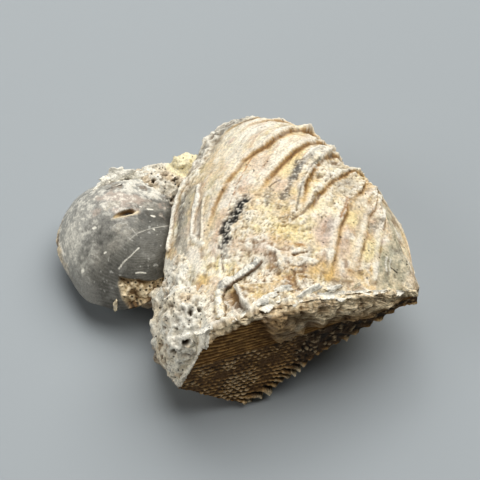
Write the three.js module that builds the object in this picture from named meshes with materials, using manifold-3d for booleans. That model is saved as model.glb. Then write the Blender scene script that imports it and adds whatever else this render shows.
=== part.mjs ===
// A Trigonia fossil: a ribbed clam with both valves closed, the rock that still clings to its broken rear corner,
// and a smooth smaller clam cemented to its side. Millimetres, +Z up, lying on the flank of the lower valve.
import * as THREE from "three";
import { mergeVertices } from "three/addons/utils/BufferGeometryUtils.js";
import Module from "manifold-3d";

const wasm = await Module();
wasm.setup();

const { degToRad, lerp, smoothstep } = THREE.MathUtils;

// Clearance between pieces that touch, and the least thickness of a valve's edge
const gap = 0.3;
const thinnest = 0.2;

// Where the origin stands in the working frame below: the middle of the finished piece, on its resting plane
const restingOrigin = [-2.17, 32.415, 0];

// Each shell has a frame of its own: the beak, the direction it grew in, and how its valve plane leans, in degrees.
// Its outlines lie in the valve plane, as points [along growth, towards the front end].
const bigShell = {
  beak: [34.9, 15.9, 18.6],
  growthYaw: 184,
  growthSlope: -3,
  frontSlope: -4,
  depthShares: [0.87, 0.3], // how much the two outline directions add to a valve's depth
  bluntness: 1.4, // how far each beak bulges out of the valve plane
  room: 2.38, // how far its neighbours stay off its bare form, more than its ribs are high
  middle: [28, 15],
  // the ribbed flank, from the beak round the front and belly to the rear corner
  flank: [
    [0, 0], [0.4, 6], [2.2, 15.8], [6.8, 26.6], [13.2, 36.5], [19.3, 44.4], [25.3, 50.6], [32, 51.8],
    [38.2, 48], [43.3, 38.5], [47.2, 29], [48.7, 19.5], [50.6, 9], [52.6, -2.5], [55, -13.3],
  ],
  // the narrow rear face, from the rear corner back to the beak
  rear: [[55, -13.3], [48.5, -13], [36, -10], [24, -7], [12, -3.5], [0, 0]],
  flankSteps: 24,
  rearSteps: 12,
};
const smallShell = {
  beak: [-16, 45.5, 12],
  growthYaw: 213,
  growthSlope: -12,
  frontSlope: 0,
  depthShares: [1, 0],
  bluntness: 0,
  room: 0.84,
  middle: [14, -3],
  flank: [
    [0, 0], [0.6, 6], [4, 10], [9.5, 11.5], [15, 12.5], [20, 10.5], [24.5, 6], [26.6, 0], [26.5, -6], [25, -11.5],
  ],
  rear: [[25, -11.5], [22.5, -16.5], [18, -19], [12.5, -19], [6.5, -15.5], [2, -8.5], [0, 0]],
  flankSteps: 14,
  rearSteps: 12,
};

// A valve swings open by an angle at the beak and closes towards the belly; a larger power closes it later.
// Both have one value for the flank and one for the keel, where flank and rear face meet.
const bigUpper = { shell: bigShell, side: 1, opening: [36, 30], closing: [2.5, 2.5] };
const bigLower = { shell: bigShell, side: -1, opening: [42, 30], closing: [2, 9] };
const smallUpper = { shell: smallShell, side: 1, opening: [42, 42], closing: [2.2, 2.2] };
const smallLower = { shell: smallShell, side: -1, opening: [24, 24], closing: [2.4, 2.4] };
const keelWidth = 2.2; // how far the keel's values reach round the outline

// Ribs of the big shell's flank, placed by share of growth. A rib rises slowly on its belly side and drops steeply
// on its beak side.
const rib = {
  crests: [0.11, 0.197, 0.283, 0.365, 0.46, 0.54, 0.625, 0.735, 0.86, 0.94],
  rise: 0.036, // from the belly-side foot to the crest
  drop: 0.013, // from the crest to the beak-side foot
  height: 1.1,
  frontBend: 0.8, // how far ribs bend out across the growth lines, towards the front end and towards the keel
  rearBend: 0.5,
  knob: 0.4, // extra height where a rib turns over the front shoulder
  tooth: 1.2, // height of the tubercle that each rib leaves on the keel
};
// Fine radial ribs on the rear face
const rearRib = { count: 6, height: 0.4 };

// Breaks, as planes through a point, facing out of the shell: both valves lost their rear belly corner, and the
// lower one a chip of its keel as well
const cornerBreak = { point: [-7, 1.9, 22.7], outwards: [-0.886, -0.18, 0.427] };
const keelBreak = { point: [-3.3, 0.8, 4.1], outwards: [-0.43, -0.64, -0.636] };

// Rock, as rounded lumps: centre, half sizes, subdivisions of the ball
const rockLumps = [
  { at: [-10.5, 18.5, 11.5], half: [8.3, 11.5, 11], detail: 4 }, // upper part of the broken corner
  { at: [-8.5, 9.5, 14.5], half: [7.5, 9, 11.5], detail: 4 }, // lower part of the broken corner
  { at: [-9.6, 4, 14.5], half: [4.6, 3.8, 9], detail: 2 }, // front of the broken corner
  { at: [-13, 32, 7.5], half: [6.5, 12, 7.5], detail: 3 }, // web between the two shells
  { at: [-16, 50, 8], half: [11, 6.5, 6.5], detail: 3 }, // ledge behind the small shell
  { at: [-11.8, 54, 12.6], half: [3.6, 2.8, 3], detail: 2 }, // yellow calcite knob on that ledge
  { at: [-10, 36, 3.5], half: [10, 13, 5.5], detail: 3 }, // bed under the shells
];
const rockRoughness = 0.5;

// A worm tube on the upper flank: bends as [growth, place round the outline], and half its width and thickness
const wormTube = {
  route: [[0.64, 12.3], [0.67, 12.57], [0.715, 12.76], [0.745, 12.9], [0.754, 13.12], [0.747, 13.38], [0.73, 13.8]],
  half: [0.95, 0.7],
  lift: 0.75, // height of its middle over the bare shell
  sides: 8,
  steps: 18,
};

// The slit in the small shell's dome
const slit = { at: [-24.7, 41.2, 16.6], half: [2.2, 0.6, 1.6], turn: 24 };

const frames = new Map();

// A shell's unit vectors, growth, front end and up out of its upper valve, and its two outlines as smooth curves
function frameOf(shell) {
  if (!frames.has(shell)) {
    const yaw = degToRad(shell.growthYaw);
    const slope = degToRad(shell.growthSlope);
    const tilt = degToRad(shell.frontSlope);
    const growth = new THREE.Vector3(Math.cos(yaw) * Math.cos(slope), Math.sin(yaw) * Math.cos(slope), Math.sin(slope));
    const front = new THREE.Vector3(Math.sin(yaw) * Math.cos(tilt), -Math.cos(yaw) * Math.cos(tilt), Math.sin(tilt));
    front.addScaledVector(growth, -front.dot(growth)).normalize();
    const up = new THREE.Vector3().crossVectors(front, growth);
    const curveOf = (points) => new THREE.SplineCurve(points.map(([g, f]) => new THREE.Vector2(g, f)));
    frames.set(shell, { growth, front, up, flank: curveOf(shell.flank), rear: curveOf(shell.rear) });
  }
  return frames.get(shell);
}

// Places round a shell's outline: 0 at the beak, keel at the rear corner, last at the beak again
function keelOf(shell) {
  return shell.flank.length - 1;
}

function lastOf(shell) {
  return keelOf(shell) + shell.rear.length - 1;
}

function outlineAt(shell, w) {
  const keel = keelOf(shell);
  const { flank, rear } = frameOf(shell);
  return w <= keel ? flank.getPoint(w / keel) : rear.getPoint((w - keel) / (lastOf(shell) - keel));
}

// Point of the bare valve at growth s (0 beak, 1 margin) and outline place w. The outline shrinks towards the beak
// and swings out of the valve plane as it does, which is how a shell grows.
function bareValve(valve, s, w) {
  const { shell, side } = valve;
  const { growth, front, up } = frameOf(shell);
  const keel = keelOf(shell);
  const outline = outlineAt(shell, w);
  const nearKeel = Math.exp(-(((w - keel) / keelWidth) ** 2));
  const swing = degToRad(lerp(...valve.opening, nearKeel)) * (1 - s ** lerp(...valve.closing, nearKeel));
  const depth = Math.max(0, shell.depthShares[0] * outline.x + shell.depthShares[1] * Math.max(outline.y, 0));
  const ends = smoothstep(w, 0, 2) * (1 - smoothstep(w, lastOf(shell) - 2, lastOf(shell)));
  const beakBulge = shell.bluntness * ends * Math.min(1, s / 0.04) * (1 - s) ** 2;
  return new THREE.Vector3(...shell.beak)
    .addScaledVector(growth, s * outline.x * Math.cos(swing) - beakBulge / 2)
    .addScaledVector(front, s * outline.y)
    .addScaledVector(up, side * (s * depth * Math.sin(swing) + beakBulge));
}

// Growth s at rib coordinate t, which is constant along a rib
function growthAt(valve, t, w) {
  if (valve.shell !== bigShell) return t;
  const pastBeak = Math.min(1, t / (rib.crests[0] - rib.drop));
  const frontBend = rib.frontBend * pastBeak * (1 - smoothstep(w, 1, 7));
  const rearBend = rib.rearBend * t * t * smoothstep(w, 8.5, 12);
  return t + (1 - t) * (frontBend + rearBend);
}

// Height of the ribs at rib coordinate t: 1 on a crest, 0 between ribs
function ribShape(t) {
  const sides = rib.crests.map((crest) => (t > crest ? 1 - (t - crest) / rib.rise : 1 - (crest - t) / rib.drop));
  return Math.max(0, ...sides);
}

// Relief of the big shell over its bare form, in mm
function reliefAt(t, s, w) {
  const keel = keelOf(bigShell);
  const crest = ribShape(t);
  const size = Math.min(1, t / 0.4) * Math.min(1, (1 - s) / 0.03);
  if (w <= keel) {
    const reach = smoothstep(w, 0.6, 2.5) * (1 - smoothstep(w, keel - 1.6, keel - 0.6));
    const knob = 1 + rib.knob * Math.exp(-(((w - 4.5) / 1.5) ** 2));
    const tooth = rib.tooth * Math.exp(-(((w - keel) / 0.45) ** 2));
    return crest * size * (rib.height * reach * knob + tooth);
  }
  const across = (w - keel) / (lastOf(bigShell) - keel);
  const tooth = rib.tooth * crest * Math.exp(-(((w - keel) / 0.2) ** 2));
  const fine = rearRib.height * Math.sin(Math.PI * rearRib.count * across) ** 2;
  return size * (tooth + fine * (1 - smoothstep(across, 0.85, 1)));
}

function evenSteps(count) {
  return Array.from({ length: count + 1 }, (_, i) => i / count);
}

// Rows along growth: every crest and both its feet on the big shell, even steps on the small one
function rowsOf(shell) {
  if (shell !== bigShell) return evenSteps(14);
  return [0, 0.04, ...rib.crests.flatMap((crest) => [crest - rib.drop, crest, crest + rib.rise]), 1];
}

// The outward normal of a bare valve, from its two directions crossed
function outwardAt(valve, s, w) {
  const keel = keelOf(valve.shell);
  const [low, high] = w <= keel ? [0, keel] : [keel, lastOf(valve.shell)];
  const step = 0.02;
  const alongGrowth = bareValve(valve, Math.min(s + step, 1), w).sub(bareValve(valve, Math.max(s - step, 0), w));
  const alongOutline = bareValve(valve, s, Math.min(w + step, high)).sub(bareValve(valve, s, Math.max(w - step, low)));
  return new THREE.Vector3().crossVectors(alongGrowth, alongOutline).multiplyScalar(valve.side).normalize();
}

// Lifts a point that came too near the valve plane, and puts a margin point in it
function keepClearOfPlane(valve, s, point, least) {
  const { up } = frameOf(valve.shell);
  const height = point.clone().sub(new THREE.Vector3(...valve.shell.beak)).dot(up) * valve.side;
  const wanted = s === 1 ? 0 : Math.max(height, least);
  return point.addScaledVector(up, (wanted - height) * valve.side);
}

// One point of a finished valve
function valvePoint(valve, t, w) {
  const { up } = frameOf(valve.shell);
  const beak = new THREE.Vector3(...valve.shell.beak);
  const parting = up.clone().multiplyScalar((valve.side * gap) / 2);
  if (t === 0 || w === 0 || w === lastOf(valve.shell)) return beak.add(parting);
  const s = growthAt(valve, t, w);
  const point = bareValve(valve, s, w);
  if (valve.shell === bigShell) point.addScaledVector(outwardAt(valve, s, w), reliefAt(t, s, w));
  return keepClearOfPlane(valve, s, point, thinnest).add(parting);
}

// One point of the room that a valve needs in its neighbours: smooth, grown because its facets cut corners, and
// reaching a little past the valve plane and the beak
function roomPoint(valve, s, w) {
  const { growth, up } = frameOf(valve.shell);
  const { room } = valve.shell;
  const beak = new THREE.Vector3(...valve.shell.beak);
  const overlap = up.clone().multiplyScalar((-valve.side * gap) / 2);
  if (s === 0 || w === 0 || w === lastOf(valve.shell)) return beak.add(overlap).addScaledVector(growth, -2 * room);
  const point = bareValve(valve, s, w).addScaledVector(outwardAt(valve, s, w), room);
  return keepClearOfPlane(valve, s, point, thinnest + 2 * gap).add(overlap);
}

// A closed solid from triangles: equal corners are merged, and triangles without area dropped
function solidFrom(positions, index) {
  const loose = new THREE.BufferGeometry();
  loose.setAttribute("position", new THREE.Float32BufferAttribute(positions, 3));
  loose.setIndex(index);
  const merged = mergeVertices(loose, 1e-3);
  const corners = merged.index.array;
  const kept = [];
  for (let i = 0; i < corners.length; i += 3) {
    const [a, b, c] = corners.slice(i, i + 3);
    if (a !== b && b !== c && c !== a) kept.push(a, b, c);
  }
  const vertProperties = new Float32Array(merged.attributes.position.array);
  return new wasm.Manifold(new wasm.Mesh({ numProp: 3, vertProperties, triVerts: new Uint32Array(kept) }));
}

// The same from any closed three.js geometry
function solidOf(geometry) {
  const flat = geometry.index ? geometry.toNonIndexed() : geometry;
  const positions = Array.from(flat.attributes.position.array);
  return solidFrom(positions, Array.from({ length: positions.length / 3 }, (_, i) => i));
}

// Half a shell as a solid: a surface over rows and columns, closed by a fan in the valve plane
function halfShell(valve, rows, flankSteps, rearSteps, pointAt, parting) {
  const { shell, side } = valve;
  const { growth, front, up } = frameOf(shell);
  const keel = keelOf(shell);
  const columns = Array.from({ length: flankSteps + 1 }, (_, j) => (keel * j) / flankSteps);
  for (let j = 1; j <= rearSteps; j++) columns.push(keel + ((lastOf(shell) - keel) * j) / rearSteps);
  const positions = rows.flatMap((t) => columns.flatMap((w) => pointAt(valve, t, w).toArray()));
  const index = [];
  const addTriangle = (a, b, c) => (side > 0 ? index.push(a, b, c) : index.push(a, c, b));
  const across = columns.length;
  for (let i = 0; i < rows.length - 1; i++)
    for (let j = 0; j < across - 1; j++) {
      const near = i * across + j;
      const far = near + across;
      addTriangle(near, far, far + 1);
      addTriangle(near, far + 1, near + 1);
    }
  const hub = positions.length / 3;
  const middle = new THREE.Vector3(...shell.beak)
    .addScaledVector(growth, shell.middle[0])
    .addScaledVector(front, shell.middle[1])
    .addScaledVector(up, side * parting);
  positions.push(...middle.toArray());
  const margin = (rows.length - 1) * across;
  for (let j = 0; j < across - 1; j++) addTriangle(hub, margin + j + 1, margin + j);
  return solidFrom(positions, index);
}

function valveSolid(valve) {
  const { shell } = valve;
  return halfShell(valve, rowsOf(shell), shell.flankSteps, shell.rearSteps, valvePoint, gap / 2);
}

function roomFor(upper, lower) {
  const { flankSteps, rearSteps } = upper.shell;
  const rows = evenSteps(12);
  const halves = [upper, lower].map((valve) => halfShell(valve, rows, flankSteps, rearSteps, roomPoint, -gap / 2));
  return halves[0].add(halves[1]);
}

// A block that fills everything outside a break, moved outwards by some mm
function beyond({ point, outwards }, clearance = 0) {
  const size = 120;
  const outside = new THREE.Vector3(...outwards).normalize();
  const block = new THREE.BoxGeometry(size, size, size).translate(0, 0, size / 2 + clearance);
  block.applyQuaternion(new THREE.Quaternion().setFromUnitVectors(new THREE.Vector3(0, 0, 1), outside));
  return solidOf(block.translate(...point));
}

// Everything under the resting plane
function underGround() {
  const size = 200;
  return solidOf(new THREE.BoxGeometry(size, size, size).translate(0, 0, -size / 2));
}

// Uneven rock surface: slow waves that cross each other, from -1 to 1
function unevenness({ x, y, z }) {
  return (Math.sin(x * 0.9 + y * 0.5) + Math.sin(y * 0.8 - z * 1.1 + 2) + Math.sin(z * 0.9 + x * 0.7 + 4)) / 3;
}

function rockLump({ at, half, detail }) {
  const ball = new THREE.IcosahedronGeometry(1, detail);
  const corners = ball.attributes.position;
  for (let i = 0; i < corners.count; i++) {
    const outwards = new THREE.Vector3().fromBufferAttribute(corners, i);
    const point = outwards.clone().multiply(new THREE.Vector3(...half)).add(new THREE.Vector3(...at));
    point.addScaledVector(outwards, rockRoughness * unevenness(point));
    corners.setXYZ(i, ...point.toArray());
  }
  return solidOf(ball);
}

// The worm tube, thicker by the clearance where it cuts its bed
function wormTubeSolid(clearance = 0) {
  const bends = wormTube.route.map(([s, w]) => {
    const bed = bareValve(bigUpper, s, w);
    return bed.addScaledVector(outwardAt(bigUpper, s, w), wormTube.lift);
  });
  for (const [end, inner] of [[bends[0], bends[1]], [bends.at(-1), bends.at(-2)]])
    end.addScaledVector(end.clone().sub(inner).normalize(), clearance);
  const [across, thick] = wormTube.half.map((half) => half + clearance);
  const section = new THREE.Shape();
  for (let i = 0; i < wormTube.sides; i++) {
    const turn = (i / wormTube.sides) * 2 * Math.PI;
    const corner = [thick * Math.cos(turn), across * Math.sin(turn)];
    if (i === 0) section.moveTo(...corner);
    else section.lineTo(...corner);
  }
  const extrudePath = new THREE.CatmullRomCurve3(bends);
  return solidOf(new THREE.ExtrudeGeometry(section, { steps: wormTube.steps, extrudePath }));
}

function slitCutter() {
  const ball = new THREE.IcosahedronGeometry(1, 2).scale(...slit.half);
  return solidOf(ball.rotateZ(degToRad(slit.turn)).translate(...slit.at));
}

// The largest body of a cut, without slivers that came loose
function mainBody(solid) {
  return solid.decompose().reduce((best, body) => (body.volume() > best.volume() ? body : best));
}

function buildSolids() {
  const ground = underGround();
  const corner = beyond(cornerBreak);
  const bigRoom = roomFor(bigUpper, bigLower).subtract(beyond(cornerBreak, gap));
  const smallRoom = roomFor(smallUpper, smallLower);
  const rock = rockLumps.map(rockLump).reduce((joined, lump) => joined.add(lump));
  return {
    upper_valve: mainBody(valveSolid(bigUpper).subtract(corner).subtract(wormTubeSolid(gap))),
    lower_valve: mainBody(valveSolid(bigLower).subtract(corner).subtract(beyond(keelBreak)).subtract(ground)),
    side_shell_upper_valve: mainBody(valveSolid(smallUpper).subtract(bigRoom).subtract(slitCutter())),
    side_shell_lower_valve: mainBody(valveSolid(smallLower).subtract(bigRoom)),
    worm_tube: wormTubeSolid(),
    rock_matrix: mainBody(rock.subtract(bigRoom).subtract(smallRoom).subtract(ground)),
  };
}

const looks = {
  upper_valve: { color: 0xd8c8a8, roughness: 0.75 },
  lower_valve: { color: 0x9a7f58, roughness: 0.8 },
  side_shell_upper_valve: { color: 0x85857f, roughness: 0.45 },
  side_shell_lower_valve: { color: 0x7d7b74, roughness: 0.6 },
  worm_tube: { color: 0xd6d4cc, roughness: 0.7 },
  rock_matrix: { color: 0xdedace, roughness: 0.95 },
};

function meshFrom(name, solid) {
  const { vertProperties, triVerts } = solid.getMesh();
  const geometry = new THREE.BufferGeometry();
  geometry.setAttribute("position", new THREE.Float32BufferAttribute(vertProperties, 3));
  geometry.setIndex(Array.from(triVerts));
  const mesh = new THREE.Mesh(geometry, new THREE.MeshStandardMaterial({ metalness: 0, ...looks[name] }));
  mesh.name = name;
  return mesh;
}

const fossil = new THREE.Group();
for (const [name, solid] of Object.entries(buildSolids())) {
  const mesh = meshFrom(name, solid);
  mesh.position.fromArray(restingOrigin).negate();
  fossil.add(mesh);
}

export default fossil;
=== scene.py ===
# A Trigonia fossil lying on its side: a ribbed clam, rock in its broken corner, and a smooth small shell
import math
import bpy
import numpy as np
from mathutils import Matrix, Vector


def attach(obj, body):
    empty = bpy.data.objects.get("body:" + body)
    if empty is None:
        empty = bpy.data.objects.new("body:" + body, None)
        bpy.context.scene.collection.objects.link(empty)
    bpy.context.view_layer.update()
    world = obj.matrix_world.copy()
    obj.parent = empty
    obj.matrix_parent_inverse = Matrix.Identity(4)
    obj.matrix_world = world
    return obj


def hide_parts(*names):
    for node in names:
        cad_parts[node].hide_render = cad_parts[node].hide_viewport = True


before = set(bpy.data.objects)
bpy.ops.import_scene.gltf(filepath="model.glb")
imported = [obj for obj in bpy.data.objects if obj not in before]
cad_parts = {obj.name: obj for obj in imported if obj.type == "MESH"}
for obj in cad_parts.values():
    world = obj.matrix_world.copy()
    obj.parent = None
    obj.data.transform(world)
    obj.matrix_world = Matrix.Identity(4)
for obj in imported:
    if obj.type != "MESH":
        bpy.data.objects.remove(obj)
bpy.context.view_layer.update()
scene = bpy.context.scene
mm = 0.001
restingOrigin = np.array([-2.17, 32.415, 0.0])  # of the row frame, in the working frame, mm

# Camera, as the photograph was taken: from the front, looking down
cameraView = {
    "target": (2.17, 3.585, 9.0),  # row frame, mm
    "elevation": 55.0,
    "distance": 245.0,
    "lens": 86.0,
}


def makeCamera(view):
    data = bpy.data.cameras.new("camera")
    data.lens = view["lens"]
    data.sensor_width = 36.0
    data.dof.use_dof = False
    data.clip_start = 0.01
    camera = bpy.data.objects.new("camera", data)
    tilt = math.radians(view["elevation"])
    back = Vector((0.0, -math.cos(tilt), math.sin(tilt)))
    camera.location = (Vector(view["target"]) + back * view["distance"]) * mm
    camera.rotation_euler = (-back).to_track_quat("-Z", "Y").to_euler()
    scene.collection.objects.link(camera)
    scene.camera = camera


makeCamera(cameraView)
print("camera ready")


# Numbers on arrays

def blend(low, high, share):
    return low + (high - low) * share


def ease(x, low, high):  # 0 below low, 1 above high, a smooth step between
    share = np.clip((x - low) / (high - low), 0.0, 1.0)
    return share * share * (3.0 - 2.0 * share)


def fall(x, low, high):  # 1 below low, 0 above high
    return 1.0 - ease(x, low, high)


def window(x, start, full, wane, end):  # 0 up to start, 1 from full to wane, 0 again from end
    return ease(x, start, full) * fall(x, wane, end)


def bell(x, middle, width):  # a bell curve of height 1
    return np.exp(-(((x - middle) / width) ** 2))


def terraces(x, steps):  # a value turned into flat layers with steep edges
    place = x * steps
    whole = np.floor(place)
    return (whole + ease(place - whole, 0.8, 1.0)) / steps


def unit(vectors):
    return vectors / np.maximum(np.linalg.norm(vectors, axis=-1, keepdims=True), 1e-9)


def farFrom(points, route):  # distance in mm from each point to a line through the route's points
    nearest = np.full(points.shape[:-1], 99.0)
    for start, end in zip(route[:-1], route[1:]):
        way = end - start
        share = np.clip((points - start) @ way / way.dot(way), 0.0, 1.0)
        nearest = np.minimum(nearest, np.linalg.norm(points - start - share[..., None] * way, axis=-1))
    return nearest


noise = {
    "mixers": (73856093, 19349663, 83492791),  # large primes, one for each axis of a cell
    "seedMixer": 668265263,
    "shift": 11.37,  # of the lattice from one seed to the next
    "finer": 2.07,  # each octave against the last
    "lower": 0.52,
    "gain": 1.6,
}
turnedAxes = np.array([[0.36, 0.48, -0.8], [-0.8, 0.6, 0.0], [0.48, 0.64, 0.6]])


def scrambled(cell, seed):  # integer cells mixed bit by bit into even random values from 0 to 1
    h = seed * noise["seedMixer"]
    for axis, mixer in enumerate(noise["mixers"]):
        h = h ^ (cell[..., axis] * mixer)
    h = h & 0xFFFFFFFF
    h = ((h ^ (h >> 15)) * 2246822519) & 0xFFFFFFFF
    h = ((h ^ (h >> 13)) * 3266489917) & 0xFFFFFFFF
    return ((h ^ (h >> 16)) & 0xFFFFFF) / 0xFFFFFF


def waves(points, size, seed):
    # Random values on a cubic lattice of this size, blended by smooth steps between the eight corners,
    # from -1 to 1
    place = points / size + seed * noise["shift"]
    cell = np.floor(place).astype(np.int64)
    part = place - cell
    part = part * part * part * (part * (part * 6.0 - 15.0) + 10.0)
    total = 0.0
    for corner in np.ndindex(2, 2, 2):
        weight = np.prod(np.where(corner, part, 1.0 - part), axis=-1)
        total = total + weight * scrambled(cell + np.array(corner), seed)
    return total * 2.0 - 1.0


def rough(points, size, octaves, seed):
    # Waves of ever half the size and half the height, each turned against the last, about -1 to 1
    total, height, reach = 0.0, 1.0, 0.0
    for octave in range(octaves):
        total = total + height * waves(points, size, seed + octave)
        reach += height
        points = points @ turnedAxes
        size, height = size / noise["finer"], height * noise["lower"]
    return total / reach * noise["gain"]


def clouds(points, size, seed, low, high):  # 1 inside clouds of noise and 0 between them
    return ease(rough(points, size, 3, seed), low, high)


def noises(points, look):  # a piece's slow swells, its lumps and its grit
    return [rough(points, *each) for each in look["noise"]]


def stretched(t, w, sizeT, sizeW):  # places of a shell laid flat, to draw noise out along its growth lines
    return np.stack([t * sizeT, w * sizeW, 0 * t], -1)


def cells(points, size, seed):
    # Distance to the nearest of one random point per lattice cell, in cells, and that point's own
    # random value
    place = points / size
    home = np.floor(place).astype(np.int64)
    nearest = np.full(points.shape[:-1], 9.0)
    own = np.zeros(points.shape[:-1])
    for step in np.ndindex(3, 3, 3):
        cell = home + np.array(step) - 1
        middle = cell + np.stack([scrambled(cell, seed + k) for k in (1, 2, 3)], axis=-1)
        away = np.linalg.norm(place - middle, axis=-1)
        closer = away < nearest
        nearest = np.where(closer, away, nearest)
        own = np.where(closer, scrambled(cell, seed + 4), own)
    return nearest, own


def curveThrough(points, share):
    # A smooth curve through points (Catmull-Rom), at shares from 0 to 1 of its length in points
    points = np.asarray(points, float)
    last = len(points) - 1
    place = np.clip(share, 0.0, 1.0) * last
    first = np.minimum(np.floor(place).astype(int), last - 1)
    u = (place - first)[..., None]
    before, here = points[np.maximum(first - 1, 0)], points[first]
    there, after = points[first + 1], points[np.minimum(first + 2, last)]
    leave, arrive = (there - before) / 2, (after - here) / 2
    return (
        (2 * here - 2 * there + leave + arrive) * u**3
        + (3 * there - 3 * here - 2 * leave - arrive) * u**2
        + leave * u
        + here
    )


def paint(red, green, blue):  # a colour as it looks on a screen, 0 to 255, as linear light
    share = np.array([red, green, blue]) / 255.0
    return np.where(share <= 0.04045, share / 12.92, ((share + 0.055) / 1.055) ** 2.4)


paints = {
    "white": paint(242, 237, 222),
    "cream": paint(232, 216, 184),
    "beige": paint(196, 176, 142),
    "sand": paint(222, 192, 148),
    "lemon": paint(240, 224, 166),
    "ochre": paint(218, 182, 112),
    "orange": paint(188, 130, 76),
    "rust": paint(150, 98, 50),
    "rose": paint(212, 190, 172),
    "moss": paint(146, 146, 124),
    "ash": paint(168, 166, 158),
    "slate": paint(104, 102, 94),
    "umber": paint(110, 84, 54),
    "bronze": paint(186, 148, 92),
    "darkUmber": paint(118, 88, 50),
    "soot": paint(40, 38, 35),
}


def over(tint, colour, mask):  # a named colour laid over a tint where the mask is 1
    return blend(tint, paints[colour], np.clip(mask, 0.0, 1.0)[..., None])


def layered(base, *layers):  # a named ground colour, and over it each layer's colour where its mask is 1
    tint = paints[base]
    for colour, mask in layers:
        tint = over(tint, colour, mask)
    return tint


def hollows(relief, reach):
    # How far a grid of heights lies below its own average over a square of neighbours, in mm
    level = relief
    for axis in (0, 1):
        padded = np.pad(level, [(reach + 1, reach) if k == axis else (0, 0) for k in (0, 1)], mode="edge")
        total = np.cumsum(padded, axis=axis)
        high = np.take(total, np.arange(2 * reach + 1, total.shape[axis]), axis=axis)
        low = np.take(total, np.arange(0, total.shape[axis] - 2 * reach - 1), axis=axis)
        level = (high - low) / (2 * reach + 1)
    return level - relief


# Meshes from grids

def inFrame(points):  # from mm in the working frame to metres in the row frame, as one flat list
    return ((points - restingOrigin) * mm).astype(np.float32).ravel()


def addMesh(name, points, faces, tint, dull):
    # Triangles between points in mm, and for each point its colour and how dull it is; points that no face
    # uses are dropped
    used, faces = np.unique(faces, return_inverse=True)
    mesh = bpy.data.meshes.new(name)
    mesh.vertices.add(len(used))
    mesh.vertices.foreach_set("co", inFrame(points[used]))
    mesh.loops.add(faces.size)
    mesh.loops.foreach_set("vertex_index", faces.astype(np.int32).ravel())
    mesh.polygons.add(faces.size // 3)
    mesh.polygons.foreach_set("loop_start", np.arange(0, faces.size, 3, dtype=np.int32))
    mesh.update(calc_edges=True)
    paintMesh(mesh, tint[used], np.broadcast_to(dull, len(points))[used])
    piece = bpy.data.objects.new(name, mesh)
    scene.collection.objects.link(piece)
    return piece


def paintMesh(mesh, tint, dull):
    mesh.polygons.foreach_set("use_smooth", np.ones(len(mesh.polygons), bool))
    colours = np.ones((len(mesh.vertices), 4), np.float32)
    colours[:, :3] = np.clip(tint, 0.0, 1.0)
    mesh.attributes.new("tint", "FLOAT_COLOR", "POINT").data.foreach_set("color", colours.ravel())
    mesh.attributes.new("dull", "FLOAT", "POINT").data.foreach_set("value", dull.astype(np.float32))


def gridTriangles(index):  # two triangles for each cell of a grid of vertex numbers, if they have an area
    a, b, c, d = index[:-1, :-1], index[1:, :-1], index[1:, 1:], index[:-1, 1:]
    both = np.concatenate([np.stack(corners, -1).reshape(-1, 3) for corners in ((a, b, c), (a, c, d))])
    real = (both[:, 0] != both[:, 1]) & (both[:, 1] != both[:, 2]) & (both[:, 2] != both[:, 0])
    return both[real]


def closedIndex(points):  # vertex numbers of a grid whose columns meet and whose end rows are poles
    rows, columns = points.shape[:2]
    index = np.arange(rows * columns).reshape(rows, columns)
    index[:, -1] = index[:, 0]
    index[0, :], index[-1, :] = index[0, 0], index[-1, 0]
    return index


def joined(parts):  # the points, faces and other values of several shapes as those of one
    points, faces, *values = zip(*parts)
    counts = np.cumsum([0] + [len(each) for each in points[:-1]])
    faces = [each + count for each, count in zip(faces, counts)]
    return [np.concatenate(each) for each in (points, faces, *values)]


# The shells' growth, as in the solids: an outline that shrinks towards the beak and swings out of the
# valve plane. Growth s runs from 0 at the beak to 1 at the edge, and w round the outline.

bigShell = {
    "beak": (34.9, 15.9, 18.6),  # mm
    "growthYaw": 184,  # degrees, as are both slopes
    "growthSlope": -3,
    "frontSlope": -4,
    "depthShares": (0.87, 0.3),  # depth per mm of the outline's x and y
    "bluntness": 1.4,  # height of the bulge at the beak, mm
    "middle": (28, 15),  # of the valve's flat side, within the outline
    "fades": (0.05, 0.6, 0.7),  # relief starts at this growth, and this far from both ends of the outline
    "flank": [  # outline at the edge, from the beak round to the keel, mm
        (0, 0), (0.4, 6), (2.2, 15.8), (6.8, 26.6), (13.2, 36.5), (19.3, 44.4), (25.3, 50.6), (32, 51.8),
        (38.2, 48), (43.3, 38.5), (47.2, 29), (48.7, 19.5), (50.6, 9), (52.6, -2.5), (55, -13.3),
    ],
    "rear": [(55, -13.3), (48.5, -13), (36, -10), (24, -7), (12, -3.5), (0, 0)],
}
smallShell = {
    "beak": (-16, 45.5, 12),
    "growthYaw": 213,
    "growthSlope": -12,
    "frontSlope": 0,
    "depthShares": (1, 0),
    "bluntness": 0,
    "middle": (14, -3),
    "fades": (0.04, 0.5, 0.5),
    "flank": [
        (0, 0), (0.6, 6), (4, 10), (9.5, 11.5), (15, 12.5), (20, 10.5), (24.5, 6), (26.6, 0), (26.5, -6),
        (25, -11.5),
    ],
    "rear": [(25, -11.5), (22.5, -16.5), (18, -19), (12.5, -19), (6.5, -15.5), (2, -8.5), (0, 0)],
}
bigUpper = {"shell": bigShell, "side": 1, "opening": (36, 30), "closing": (2.5, 2.5)}
bigLower = {"shell": bigShell, "side": -1, "opening": (42, 30), "closing": (2, 9)}
smallUpper = {"shell": smallShell, "side": 1, "opening": (42, 42), "closing": (2.2, 2.2)}
smallLower = {"shell": smallShell, "side": -1, "opening": (24, 24), "closing": (2.4, 2.4)}
keelWidth = 2.2  # along the outline
parting = 0.04  # half the gap between two valves, mm
keelRounding = 8  # rounds of averaging the normals over the keel
leastHeight = 0.05  # of a valve's surface above its flat side, mm
edgeFade = 0.01  # growth over which relief fades away at the edge
undersideDull = 0.9  # how dull the flat side of a valve is


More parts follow.
